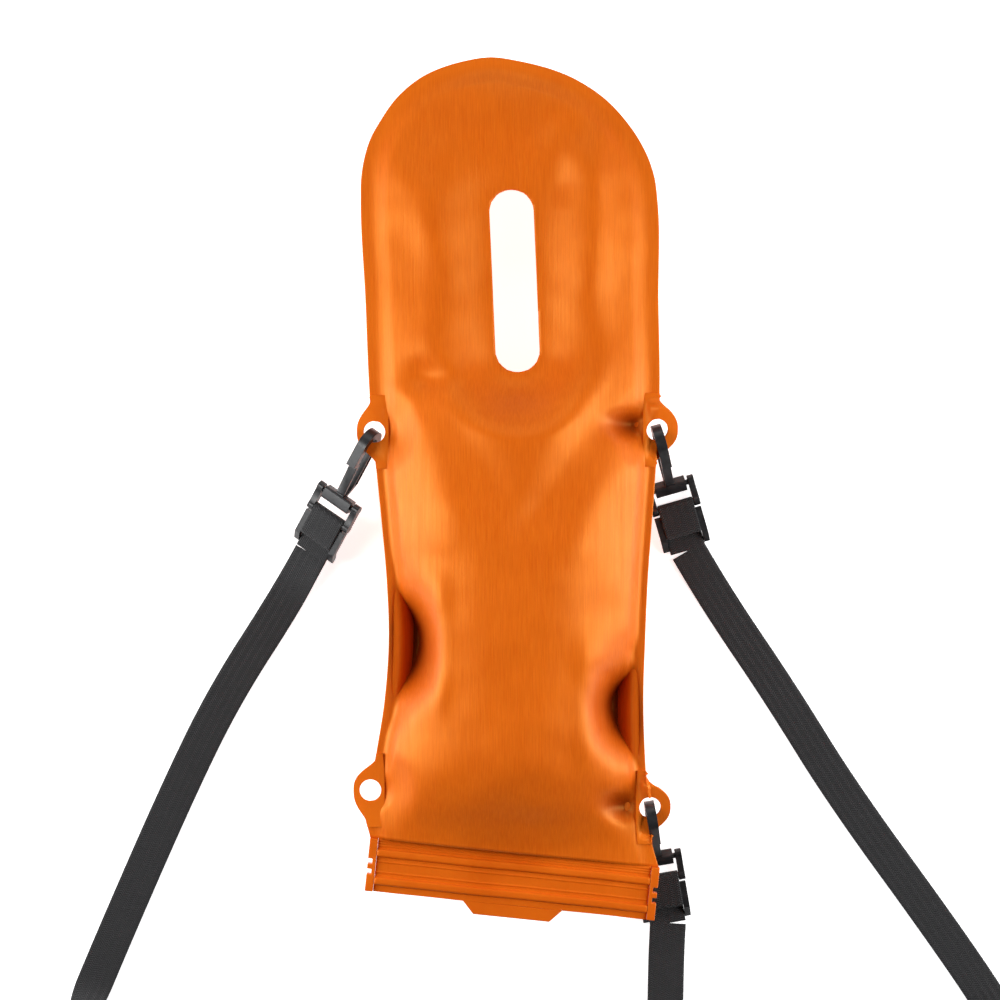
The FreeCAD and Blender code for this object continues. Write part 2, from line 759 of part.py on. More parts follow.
def filled_in(points, step):
    """Extra samples so that no gap along the route is longer than step."""
    out = [points[0]]
    for p in points[1:]:
        last = out[-1]
        gap = (p - last).Length
        count = max(1, int(math.ceil(gap / step)))
        for k in range(1, count + 1):
            out.append(last + (p - last) * (k / count))
    return out


def webbing(name, points, height, stand, first, last):
    """Flat strap: height(s) clear of the table and stand(s), degrees on edge, by length."""
    flat = filled_in(corner_route(points), 12.0)
    travel = [0.0]
    for a, b in zip(flat, flat[1:]):
        travel.append(travel[-1] + (b - a).Length)
    total = travel[-1]
    half_w = size("webbing_width") / 2
    half_t = size("webbing_gauge") / 2
    wires = []
    centres = []
    for i, p in enumerate(flat):
        s = travel[i]
        a = flat[max(i - 1, 0)]
        b = flat[min(i + 1, len(flat) - 1)]
        way = (b - a).normalize()
        side = V(0, 0, 1).cross(way)
        q = math.radians(stand(s, total))
        rest = half_w * abs(math.sin(q)) + half_t * abs(math.cos(q)) + 0.15
        c = V(p.x, p.y, rest + height(s, total))
        wide = side * math.cos(q) + V(0, 0, 1) * math.sin(q)
        thin = wide.cross(way)
        if i == 0:
            c, wide, thin = first
        if i == len(flat) - 1:
            c, wide, thin = last
        centres.append(c)
        ring = [
            c + wide * half_w + thin * half_t,
            c - wide * half_w + thin * half_t,
            c - wide * half_w - thin * half_t,
            c + wide * half_w - thin * half_t,
        ]
        wires.append(Part.makePolygon(ring + [ring[0]]))
    solid = Part.makeLoft(wires, True, True)
    run = sum((b - a).Length for a, b in zip(centres, centres[1:]))
    box_volume = run * size("webbing_width") * size("webbing_gauge")
    print("%s: %.0f mm long, volume %.3f of length times section" % (name, run, solid.Volume / box_volume))
    return node(shaped("Strap_" + name, solid), name)


def leave(name):
    """Middle and axes of the webbing where it leaves a slide."""
    rot = LOOPS[name]["rot"]
    return (
        LOOPS[name]["pin"] + rot.multVec(V(FOLD_END + 0.3, 0, BACK_LEVEL)),
        rot.multVec(V(0, 1, 0)),
        rot.multVec(V(0, 0, 1)),
    )


def ease(s, rows):
    """Smooth reading of a table of (length, value)."""
    if s <= rows[0][0]:
        return rows[0][1]
    for (s0, v0), (s1, v1) in zip(rows, rows[1:]):
        if s <= s1:
            return v0 + (v1 - v0) * smooth((s - s0) / (s1 - s0))
    return rows[-1][1]


ul = leave("upper_left")
ur = leave("upper_right")
lr = leave("lower_right")
sp = leave("spare")
cross_points = [
    (ul[0].x, ul[0].y),
    (-155.0, -73.0),
    (-199.0, -141.0),
    (-232.0, -209.0),
    (-274.0, -305.0),
    (-302.0, -372.0),
    (-304.0, -408.0),
    (-272.0, -420.0),
    (-170.0, -417.0),
    (-50.0, -421.0),
    (40.0, -418.0),
    (92.0, -412.0),
    (107.0, -378.0),
    (108.0, -318.0),
    (lr[0].x, lr[0].y),
]
cross = webbing(
    "strap_cross",
    cross_points,
    lambda s, total: ease(s, [(0, ul[0].z), (40, 0), (total - 20, 0), (total, lr[0].z)]),
    lambda s, total: ease(s, [(335, 0), (395, 90), (total - 115, 90), (total - 52, 0)]),
    ul,
    (lr[0], lr[1] * -1, lr[2]),
)
free_points = [
    (ur[0].x, ur[0].y),
    (142.0, -73.0),
    (187.5, -140.0),
    (230.0, -209.0),
    (300.0, -305.0),
    (340.0, -364.0),
    (358.0, -408.0),
    (338.0, -448.0),
    (290.0, -459.0),
    (220.0, -455.0),
    (165.0, -458.0),
    (sp[0].x, sp[0].y),
]
free = webbing(
    "strap_free",
    free_points,
    lambda s, total: ease(s, [(0, ur[0].z), (25, 0), (total - 25, 0), (total, sp[0].z)]),
    lambda s, total: ease(s, [(365, 0), (430, 90), (total - 150, 90), (total - 85, 0)]),
    ur,
    (sp[0], sp[1] * -1, sp[2]),
)

# ---------------------------------------------------------------- checks and export
doc.recompute()
os.makedirs("parts", exist_ok=True)
for obj in doc.Objects:
    if "Invalid" in obj.State or "Error" in obj.State:
        raise RuntimeError("%s did not recompute: %s" % (obj.Label, obj.State))
for obj in NODES:
    shape = obj.Shape
    if shape.isNull() or not shape.isValid():
        raise RuntimeError("%s has no valid shape" % obj.Label)
    if len(shape.Solids) != 1:
        raise RuntimeError("%s has %d solids" % (obj.Label, len(shape.Solids)))
    shape.exportStep("parts/" + obj.Label + ".step")
    bb = shape.optimalBoundingBox(False)
    print("%-26s %9.0f mm3  X %.1f..%.1f  Y %.1f..%.1f  Z %.1f..%.1f" % (
        obj.Label, shape.Volume, bb.XMin, bb.XMax, bb.YMin, bb.YMax, bb.ZMin, bb.ZMax))
print("%d pieces" % len(NODES))
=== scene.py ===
"""Looks for the carry bag: welded panels, press-seal mouth, eyelet tabs, hooks and straps.

Every piece is in metres in the row frame.  Sizes inside functions are in millimetres and
are turned to metres by MM.
"""

import json
import math

import bmesh
import bpy
import numpy as np
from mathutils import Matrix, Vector

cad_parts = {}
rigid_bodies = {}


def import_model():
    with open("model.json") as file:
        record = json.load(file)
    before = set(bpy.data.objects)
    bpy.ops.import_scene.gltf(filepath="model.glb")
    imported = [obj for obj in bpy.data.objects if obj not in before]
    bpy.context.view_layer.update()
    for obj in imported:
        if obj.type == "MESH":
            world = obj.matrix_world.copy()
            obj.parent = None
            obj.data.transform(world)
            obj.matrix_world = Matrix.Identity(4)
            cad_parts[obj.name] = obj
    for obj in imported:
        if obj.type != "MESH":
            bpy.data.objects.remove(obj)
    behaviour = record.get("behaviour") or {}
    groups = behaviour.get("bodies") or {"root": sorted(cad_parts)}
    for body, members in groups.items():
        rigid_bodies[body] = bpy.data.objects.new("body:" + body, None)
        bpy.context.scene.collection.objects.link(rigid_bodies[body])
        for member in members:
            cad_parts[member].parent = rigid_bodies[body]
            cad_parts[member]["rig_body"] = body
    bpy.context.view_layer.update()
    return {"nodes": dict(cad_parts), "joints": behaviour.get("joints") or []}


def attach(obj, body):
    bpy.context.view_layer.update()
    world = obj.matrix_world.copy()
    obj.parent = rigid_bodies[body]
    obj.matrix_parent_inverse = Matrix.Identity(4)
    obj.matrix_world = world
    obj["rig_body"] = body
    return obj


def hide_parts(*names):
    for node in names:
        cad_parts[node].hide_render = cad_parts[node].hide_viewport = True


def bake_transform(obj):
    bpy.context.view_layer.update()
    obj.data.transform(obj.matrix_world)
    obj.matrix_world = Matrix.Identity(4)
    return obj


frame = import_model()

bl_info = {
    "name": "Carry bag looks",
    "version": (1, 0, 0),
    "blender": (4, 2, 0),
    "location": "View3D > Sidebar > Carry bag",
    "description": "Builds the visible surfaces of a press-seal carry bag with webbing straps",
    "category": "Object",
}

MM = 0.001
SEAM = 42.0
GAUGE = 1.2
SLOT_MID = np.array([2.4, 143.5])
SLOT_LEAN = math.radians(2.5)
SLOT_WAY = np.array([math.sin(SLOT_LEAN), -math.cos(SLOT_LEAN)])
SLOT_LONG = 124.0
SLOT_WIDE = 30.0
MOUTH_TURN = math.radians(-5.9)
MOUTH = np.array([-1.05, -280.8])
ACROSS = np.array([math.cos(MOUTH_TURN), math.sin(MOUTH_TURN)])
UPWARD = np.array([-math.sin(MOUTH_TURN), math.cos(MOUTH_TURN)])
STRIP_DEPTH = 36.0
STRIP_HALF = 93.2
SEAL_GAP = 0.05  # half the space left between the closed strips
STRIP_ROWS = 120

# edge of the bag from the mouth up the left side, over the top and down the right side
EDGE = np.array([
    (-95.7, -234.5), (-98.8, -222.0), (-92.4, -182.0), (-86.0, -141.4),
    (-83.2, -100.6), (-84.6, -59.8),
    (-88.2, -19.0), (-92.3, 21.8), (-95.9, 62.6), (-99.0, 130.6), (-102.2, 198.6), (-102.0, 212.0),
    (-100.0, 225.8), (-95.9, 239.4), (-88.4, 253.0), (-78.9, 266.6), (-63.9, 280.0), (-30.6, 293.2),
    (-13.5, 295.6), (4.0, 293.2), (44.9, 280.0), (64.6, 266.6), (77.5, 253.0), (87.0, 239.4),
    (93.8, 225.8), (97.9, 212.0), (99.5, 198.6), (100.2, 130.6), (100.9, 62.6), (98.8, 21.8),
    (95.9, -19.0), (93.0, -59.8), (91.2, -100.6), (90.0, -141.4), (91.2, -182.0), (94.0, -222.0),
    (95.4, -236.6), (100.2, -254.8),
])
FRONT_CREST = np.array([
    (-300, 5.0), (-252, 5.0), (-242, 7.5), (-228, 14), (-208, 26), (-188, 34), (-160, 38), (-110, 39.5),
    (-60, 40.5), (0, 38.5), (40, 35), (70, 30), (100, 22), (130, 17.5), (170, 16), (215, 14),
    (262, 8), (296, 0),
])
BACK_CREST = np.array([
    (-300, 3), (-246, 3), (-230, 9), (-210, 20), (-185, 38), (-150, 50), (-90, 54), (-20, 54),
    (40, 51), (90, 43), (150, 34), (215, 26), (262, 12), (296, 0),
])
# control points of the straps in plan, in metres
CROSS_ROUTE = [
    (-0.1418, -0.0470), (-0.1550, -0.0730), (-0.1990, -0.1410), (-0.2320, -0.2090), (-0.2740, -0.3050),
    (-0.3020, -0.3720), (-0.3040, -0.4080), (-0.2720, -0.4200), (-0.1700, -0.4170), (-0.0500, -0.4210),
    (0.0400, -0.4180), (0.0920, -0.4120), (0.1070, -0.3780), (0.1080, -0.3180), (0.1091, -0.3006),
]
FREE_ROUTE = [
    (0.1231, -0.0410), (0.1420, -0.0730), (0.1875, -0.1400), (0.2300, -0.2090), (0.3000, -0.3050),
    (0.3400, -0.3640), (0.3580, -0.4080), (0.3380, -0.4480), (0.2900, -0.4590), (0.2200, -0.4550),
    (0.1650, -0.4580), (0.1243, -0.4560),
]
# where the near and far stretches by the hooks end, from the first hook and from the last one
CROSS_LEADS = (60.0, 120.0, 44.0, 84.0)
FREE_LEADS = (60.0, 120.0, 0.0, 0.0)


# ------------------------------------------------------------------ small maths
def smooth(t):
    """Smoothstep of an array: 3t^2 - 2t^3 between 0 and 1."""
    t = np.clip(t, 0.0, 1.0)
    return t * t * (3.0 - 2.0 * t)


def curve_through(points, per_span):
    """Cubic Hermite curve through points, tangents from the neighbours' difference."""
    p = np.asarray(points, float)
    gaps = np.linalg.norm(np.diff(p, axis=0), axis=1)
    s = np.r_[0.0, np.cumsum(gaps)]
    slope = np.gradient(p, s, axis=0)
    t = np.linspace(0.0, 1.0, per_span, endpoint=False)
    h = gaps[:, None]
    a = (2 * t**3 - 3 * t**2 + 1)[None, :, None] * p[:-1, None]
    b = ((t**3 - 2 * t**2 + t)[None, :] * h)[..., None] * slope[:-1, None]
    c = (-2 * t**3 + 3 * t**2)[None, :, None] * p[1:, None]
    d = ((t**3 - t**2)[None, :] * h)[..., None] * slope[1:, None]
    return np.vstack([(a + b + c + d).reshape(-1, p.shape[1]), p[-1:]])


RIM_LINE = curve_through(EDGE, 40)
TOP_INDEX = int(np.argmax(RIM_LINE[:, 1]))
LEFT_LINE = RIM_LINE[: TOP_INDEX + 1]
RIGHT_LINE = RIM_LINE[TOP_INDEX:][::-1]
APEX = RIM_LINE[TOP_INDEX]


def side_x(line, y):
    """Edge position across the bag at height y, held at the ends of the line."""
    order = np.argsort(line[:, 1])
    return np.interp(y, line[order, 1], line[order, 0])


def slot_gap(x, y):
    """Distance outward from the slot's edge: distance to its middle line less its radius."""
    dx = x - SLOT_MID[0]
    dy = y - SLOT_MID[1]
    t = dx * SLOT_WAY[0] + dy * SLOT_WAY[1]
    t = np.clip(t, -(SLOT_LONG - SLOT_WIDE) / 2, (SLOT_LONG - SLOT_WIDE) / 2)
    ex = dx - t * SLOT_WAY[0]
    ey = dy - t * SLOT_WAY[1]
    return np.hypot(ex, ey) - SLOT_WIDE / 2, ex, ey


def bump(x, y, at, radii, turn, power=2.0):
    """Soft bell about a point: exp(-(|u|^p + |v|^p)) on axes turned by turn degrees."""
    a = math.radians(turn)
    dx = x - at[0]
    dy = y - at[1]
    u = (dx * math.cos(a) + dy * math.sin(a)) / radii[0]
    v = (-dx * math.sin(a) + dy * math.cos(a)) / radii[1]
    return np.exp(-(np.abs(u) ** power + np.abs(v) ** power))


def crease(x, y, start, end, wide_left, wide_right):
    """Fold along a segment: falls off by a bell each side, by its own width, and at the ends."""
    s = np.array(start, float)
    e = np.array(end, float)
    way = e - s
    length = np.linalg.norm(way)
    way = way / length
    along = ((x - s[0]) * way[0] + (y - s[1]) * way[1]) / length
    off = -(x - s[0]) * way[1] + (y - s[1]) * way[0]
    width = np.where(off > 0, wide_left, wide_right)
    ends = smooth(along / 0.3) * smooth((1.0 - along) / 0.3)
    return np.exp(-((off / width) ** 2)) * ends


def waves(x, y, seed, scale, count):
    """Sum of seeded sine waves in random directions, about -1 to 1."""
    rng = np.random.default_rng(seed)
    out = np.zeros_like(x)
    for _ in range(count):
        angle = rng.uniform(0, math.pi)
        rate = 2 * math.pi / (scale * rng.uniform(0.7, 1.6))
        phase = rng.uniform(0, 2 * math.pi)
        out += np.sin((x * math.cos(angle) + y * math.sin(angle)) * rate + phase)
    return out / math.sqrt(count)


# ------------------------------------------------------------------ mesh makers
def grid_faces(rows, cols, closed_rows=False, closed_cols=False):
    """Quads of a rows by cols grid, wrapping round either way when closed."""
    r = np.arange(rows if closed_rows else rows - 1)
    c = np.arange(cols if closed_cols else cols - 1)
    rr, cc = np.meshgrid(r, c, indexing="ij")
    r1 = (rr + 1) % rows
    c1 = (cc + 1) % cols
    return np.stack([rr * cols + cc, rr * cols + c1, r1 * cols + c1, r1 * cols + cc], -1).reshape(-1, 4)


def make_mesh(name, points, faces, smooth_shade=True):
    """Mesh object from an array of points in millimetres and an array of faces."""
    mesh = bpy.data.meshes.new(name)
    mesh.from_pydata((points * MM).tolist(), [], [tuple(int(i) for i in f) for f in faces])
    mesh.update()
    mesh.polygons.foreach_set("use_smooth", np.full(len(mesh.polygons), smooth_shade))
    obj = bpy.data.objects.new(name, mesh)
    bpy.context.scene.collection.objects.link(obj)
    return obj


def point_value(obj, name, values):
    """Store one number per point for the materials to read."""
    layer = obj.data.attributes.new(name, "FLOAT", "POINT")
    layer.data.foreach_set("value", np.asarray(values, np.float32))


def flat_map(obj, u, v):
    """UV map from one u and v per point."""
    mesh = obj.data
    layer = mesh.uv_layers.new(name="UVMap")
    index = np.zeros(len(mesh.loops), np.int32)
    mesh.loops.foreach_get("vertex_index", index)
    uv = np.stack([np.asarray(u)[index], np.asarray(v)[index]], -1)
    layer.data.foreach_set("uv", uv.astype(np.float32).ravel())


def add_thickness(obj, gauge):
    """Solidify inward by gauge millimetres."""
    mod = obj.modifiers.new("Gauge", "SOLIDIFY")
    mod.thickness = gauge * MM
    mod.offset = -1.0
    mod.use_even_offset = False


def add_bevel(obj, width, segments=2):
    """Round the hard edges by width millimetres."""
    mod = obj.modifiers.new("Soft edges", "BEVEL")
    mod.width = width * MM
    mod.segments = segments
    mod.limit_method = "ANGLE"
    mod.angle_limit = math.radians(35)
    mod.harden_normals = False
    return mod


# ------------------------------------------------------------------ materials
def new_material(name):
    """Empty material with a Principled shader; returns material, nodes, links, shader."""
    mat = bpy.data.materials.new(name)
    mat.use_nodes = True
    nodes = mat.node_tree.nodes
    links = mat.node_tree.links
    return mat, nodes, links, nodes["Principled BSDF"]


def mapped(nodes, links, scale, source="Object", turn=(0, 0, 0)):
    """Object or UV coordinates through a Mapping node."""
    coord = nodes.new("ShaderNodeTexCoord")
    mapping = nodes.new("ShaderNodeMapping")
    mapping.inputs["Scale"].default_value = scale
    mapping.inputs["Rotation"].default_value = turn
    links.new(coord.outputs[source], mapping.inputs["Vector"])
    return mapping.outputs["Vector"]


def noise(nodes, links, vector, scale, detail=3.0, rough=0.55):
    """Noise texture node."""
    node = nodes.new("ShaderNodeTexNoise")
    node.inputs["Scale"].default_value = scale
    node.inputs["Detail"].default_value = detail
    node.inputs["Roughness"].default_value = rough
    links.new(vector, node.inputs["Vector"])
    return node.outputs["Fac"]


def ramp(nodes, links, value, stops):
    """Colour ramp from (position, colour) stops."""
    node = nodes.new("ShaderNodeValToRGB")
    element = node.color_ramp.elements
    while len(element) < len(stops):
        element.new(0.5)
    for item, (place, colour) in zip(element, stops):
        item.position = place
        item.color = (*colour, 1.0)
    links.new(value, node.inputs["Fac"])
    return node.outputs["Color"]


def mix_colour(nodes, links, factor, a, b, mode="MIX"):
    """Mix two colours; factor, a and b are sockets or values."""
    node = nodes.new("ShaderNodeMix")
    node.data_type = "RGBA"
    node.blend_type = mode
    for socket, value in ((node.inputs[0], factor), (node.inputs[6], a), (node.inputs[7], b)):
        if hasattr(value, "links"):
            links.new(value, socket)
        elif isinstance(value, (int, float)):
            socket.default_value = value
        else:
            socket.default_value = (*value, 1.0)
    return node.outputs[2]


def maths(nodes, links, kind, a, b=0.5, clamp=False):
    """Math node."""
    node = nodes.new("ShaderNodeMath")
    node.operation = kind
    node.use_clamp = clamp
    for socket, value in ((node.inputs[0], a), (node.inputs[1], b)):
        if hasattr(value, "links"):
            links.new(value, socket)
        else:
            socket.default_value = value
    return node.outputs[0]


def bumped(nodes, links, shader, layers):
    """Chain of Bump nodes from (height socket, strength, distance in metres)."""
    last = None
    for height, strength, distance in layers:
        node = nodes.new("ShaderNodeBump")
        node.inputs["Strength"].default_value = strength
        node.inputs["Distance"].default_value = distance
        links.new(height, node.inputs["Height"])
        if last is not None:
            links.new(last, node.inputs["Normal"])
        last = node.outputs["Normal"]
    links.new(last, shader.inputs["Normal"])


def coated_fabric(name, colour, deep, pale, weave, painted_highlight_and_shade):
    """Coated woven sheet: fine lines of the cloth under a satin coat; when asked, a warmer painted highlight
    along the welds and painted shade in the folds of the dents.
    """
    mat, nodes, links, shader = new_material(name)
    threads = noise(nodes, links, mapped(nodes, links, (1.0, 0.035, 0.2)), 1500.0, 2.0, 0.6)
    strands = noise(nodes, links, mapped(nodes, links, (1.0, 0.02, 0.15)), 520.0, 2.0, 0.5)
    cloud = noise(nodes, links, mapped(nodes, links, (1, 1, 1)), 22.0, 3.0, 0.5)
    grain = noise(nodes, links, mapped(nodes, links, (1, 1, 1)), 2600.0, 1.0, 0.5)
    base = ramp(nodes, links, cloud, [(0.3, deep), (0.7, colour)])
    lined = mix_colour(nodes, links, weave, base, ramp(nodes, links, threads, [(0.3, deep), (0.7, pale)]))
    if painted_highlight_and_shade:
        # painted highlight: the colour is mixed toward pale along the weld band by the panel's edge
        near = nodes.new("ShaderNodeAttribute")
        near.attribute_name = "weld"
        lined = mix_colour(nodes, links, near.outputs["Fac"], lined, pale)
        # painted shade: the colour is mixed toward a dark red in the folds of the dents and the dimples by
        # the eyelets
        fold_shade_node = nodes.new("ShaderNodeAttribute")
        fold_shade_node.attribute_name = "painted_fold_shade"
        shaded = (colour[0] * 0.17, 0.0008, 0.0)
        lined = mix_colour(nodes, links, fold_shade_node.outputs["Fac"], lined, shaded)
    links.new(lined, shader.inputs["Base Color"])
    rough = ramp(nodes, links, strands, [(0.25, (0.38,) * 3), (0.75, (0.5,) * 3)])
    links.new(rough, shader.inputs["Roughness"])
    shader.inputs["Specular IOR Level"].default_value = 0.85
    shader.inputs["Specular Tint"].default_value = (1.0, 0.5, 0.1, 1.0)
    shader.inputs["Subsurface Weight"].default_value = 0.06
    shader.inputs["Subsurface Radius"].default_value = (0.012, 0.003, 0.0008)
    shader.inputs["Subsurface Scale"].default_value = 0.6
    bumped(nodes, links, shader, [
        (strands, 0.2, 0.0004),
        (threads, 0.3, 0.0003),
        (grain, 0.08, 0.0001),
    ])
    return mat


def moulded_plastic(name, colour):
    """Moulded black plastic: faint mould grain, scuffs on a satin skin."""
    mat, nodes, links, shader = new_material(name)
    grain = noise(nodes, links, mapped(nodes, links, (1, 1, 1)), 1400.0, 2.0, 0.6)
    scuff = noise(nodes, links, mapped(nodes, links, (1, 1, 1)), 160.0, 4.0, 0.65)
    tone = ramp(nodes, links, scuff, [(0.35, colour), (0.75, tuple(c * 1.9 + 0.004 for c in colour))])
    links.new(tone, shader.inputs["Base Color"])
    links.new(ramp(nodes, links, scuff, [(0.3, (0.3,) * 3), (0.7, (0.46,) * 3)]), shader.inputs["Roughness"])
    shader.inputs["Specular IOR Level"].default_value = 0.5
    bumped(nodes, links, shader, [(grain, 0.25, 0.00008), (scuff, 0.12, 0.00015)])
    return mat


def webbing_cloth(name, colour, pale):
    """Woven webbing: rows of ribs across the strap, split into a chevron of yarns."""
    mat, nodes, links, shader = new_material(name)
    coord = mapped(nodes, links, (1, 1, 1), "UV")
    split = nodes.new("ShaderNodeSeparateXYZ")
    links.new(coord, split.inputs["Vector"])
    across, along = split.outputs["X"], split.outputs["Y"]
    lean = maths(nodes, links, "ABSOLUTE", maths(nodes, links, "SUBTRACT", maths(
        nodes, links, "FRACT", maths(nodes, links, "MULTIPLY", across, 5.0)), 0.5))
    phase = maths(nodes, links, "ADD", maths(nodes, links, "MULTIPLY", along, 1000.0 / 1.55),
                  maths(nodes, links, "MULTIPLY", lean, 2.0))
    rib = maths(nodes, links, "SINE", maths(nodes, links, "MULTIPLY", phase, 2 * math.pi))
    yarn = maths(nodes, links, "SINE", maths(nodes, links, "MULTIPLY", across, 2 * math.pi * 20))
    weave = maths(nodes, links, "MULTIPLY_ADD", rib, 0.35)
    nodes[-1].inputs[2].default_value = 0.5
    cross = maths(nodes, links, "MULTIPLY_ADD", yarn, 0.15)
    nodes[-1].inputs[2].default_value = 0.5
    height = maths(nodes, links, "MULTIPLY", weave, maths(nodes, links, "ADD", cross, 0.35))
    fuzz = noise(nodes, links, mapped(nodes, links, (1, 1, 1)), 1800.0, 3.0, 0.7)
    worn = noise(nodes, links, mapped(nodes, links, (1, 1, 1)), 45.0, 3.0, 0.6)
    tone = mix_colour(nodes, links, height, colour, pale)
    tone = mix_colour(nodes, links, maths(nodes, links, "MULTIPLY", worn, 0.35), tone, pale)
    links.new(tone, shader.inputs["Base Color"])
    shader.inputs["Roughness"].default_value = 0.62
    shader.inputs["Sheen Weight"].default_value = 0.06
    shader.inputs["Sheen Roughness"].default_value = 0.5
    shader.inputs["Specular IOR Level"].default_value = 0.35
    bumped(nodes, links, shader, [(height, 0.8, 0.0006), (fuzz, 0.3, 0.0002)])
    return mat


MATS = {}


def build_materials(props):
    """All finishes of the bag, made once."""
    tint = tuple(props.orange)
    deep = (tint[0] * 0.84, tint[1] * 0.72, tint[2] * 0.5)
    pale = (min(1.0, tint[0] * 1.08), tint[1] * 1.2, tint[2] * 1.5)
    MATS["panel"] = coated_fabric("Coated_cloth", tint, deep, pale, 0.5, True)
    MATS["sheet"] = coated_fabric("Welded_sheet", pale, tint, pale, 0.12, False)
    MATS["strip"] = coated_fabric("Seal_strip", tint, deep, tint, 0.06, False)
    MATS["plastic"] = moulded_plastic("Black_moulding", tuple(props.black))
    MATS["webbing"] = webbing_cloth("Black_webbing", (0.004, 0.004, 0.0045), (0.028, 0.028, 0.03))


# ------------------------------------------------------------------ bag panels
RIM_WIDE = 3.4
RIM_TALL = 1.75
ROWS = 330
COLS = 138


def panel_grid():
    """Grid over the bag: rows run from the slanted mouth to the apex, columns side to side."""
    t = np.linspace(0.0, 1.0, ROWS)
    low = MOUTH[1] + 0.3 + STRIP_DEPTH * UPWARD[1]
    t = 1.0 - (1.0 - t) ** 1.25
    centre = low + (APEX[1] - low) * t
    slant = ACROSS[1] / ACROSS[0] * (1.0 - smooth((centre - low) / 150.0))
    left_x = side_x(LEFT_LINE, centre)
    right_x = side_x(RIGHT_LINE, centre)
    for _ in range(6):
        left_x = side_x(LEFT_LINE, centre + slant * left_x)
        right_x = side_x(RIGHT_LINE, centre + slant * right_x)
    s = np.linspace(0.0, 1.0, COLS)
    s = 0.5 - 0.5 * np.cos(math.pi * (0.12 + 0.76 * s)) / math.cos(math.pi * 0.12)
    x = left_x[:, None] + (right_x - left_x)[:, None] * s[None, :]
    y = centre[:, None] + slant[:, None] * x
    return x, y


def edge_gap(x, y):
    """Least distance in from the bag's side and top edge, by a coarse search of its line."""
    line = RIM_LINE[::6]
    out = np.full(x.shape, 1e9)
    for k in range(0, len(line) - 1):
        a = line[k]
        d = line[k + 1] - a
        t = np.clip(((x - a[0]) * d[0] + (y - a[1]) * d[1]) / (d @ d), 0.0, 1.0)
        out = np.minimum(out, np.hypot(x - a[0] - t * d[0], y - a[1] - t * d[1]))
    return out


def lens(x, y, crest, flange):
    """Filled height: crest(y) times (1 - |s|^p)^q, fuller towards the sides in the lower body."""
    left = side_x(LEFT_LINE, y) + flange
    right = side_x(RIGHT_LINE, y) - flange
    half = np.maximum(right - left, 1.0) / 2
    s = np.clip(np.abs(x - (left + right) / 2) / half, 0.0, 1.0)
    rows = curve_through(crest, 12)
    top = np.interp(y, rows[:, 0], rows[:, 1])
    low = smooth((95.0 - y) / 90.0)
    out = top * (1.0 - s**2.0) ** (1.0 - 0.22 * low)
    return np.where(right - left < 6.0, 0.0, out)


def eye_room(x, y, clear, fade):
    """0 beside an eyelet, rising smoothly to 1 where its tab is well clear."""
    gap = np.full(x.shape, 1e9)
    for eye in EYES.values():
        gap = np.minimum(gap, np.hypot(x - eye[0], y - eye[1]))
    return smooth((gap - clear) / fade)


def pinch(x, y, at, left, right, up, down, turn=0.0):
    """Lopsided dent about a point: bell with its own reach to each side, turned by turn degrees."""
    a = math.radians(turn)
    dx = x - at[0]
    dy = y - at[1]
    u = dx * math.cos(a) + dy * math.sin(a)
    v = -dx * math.sin(a) + dy * math.cos(a)
    u = u / np.where(u < 0, left, right)
    v = v / np.where(v < 0, down, up)
    return np.exp(-(np.abs(u) ** 2.3 + np.abs(v) ** 2.3))


# centre, reach to the left, right, top and bottom, turn in degrees, depth, strength of the painted shade
DENTS = (
    ((-70.0, -101.0), (15.0, 16.0, 24.0, 29.0), 5.0, 44.0, 0.98),
    ((79.0, -147.0), (19.0, 13.0, 21.0, 24.0), 16.0, 44.0, 0.96),
    ((80.0, 46.0), (14.0, 9.0, 7.0, 9.0), 0.0, 11.0, 0.7),
    ((75.0, -213.0), (14.0, 9.0, 8.0, 8.0), -18.0, 8.0, 0.7),
)


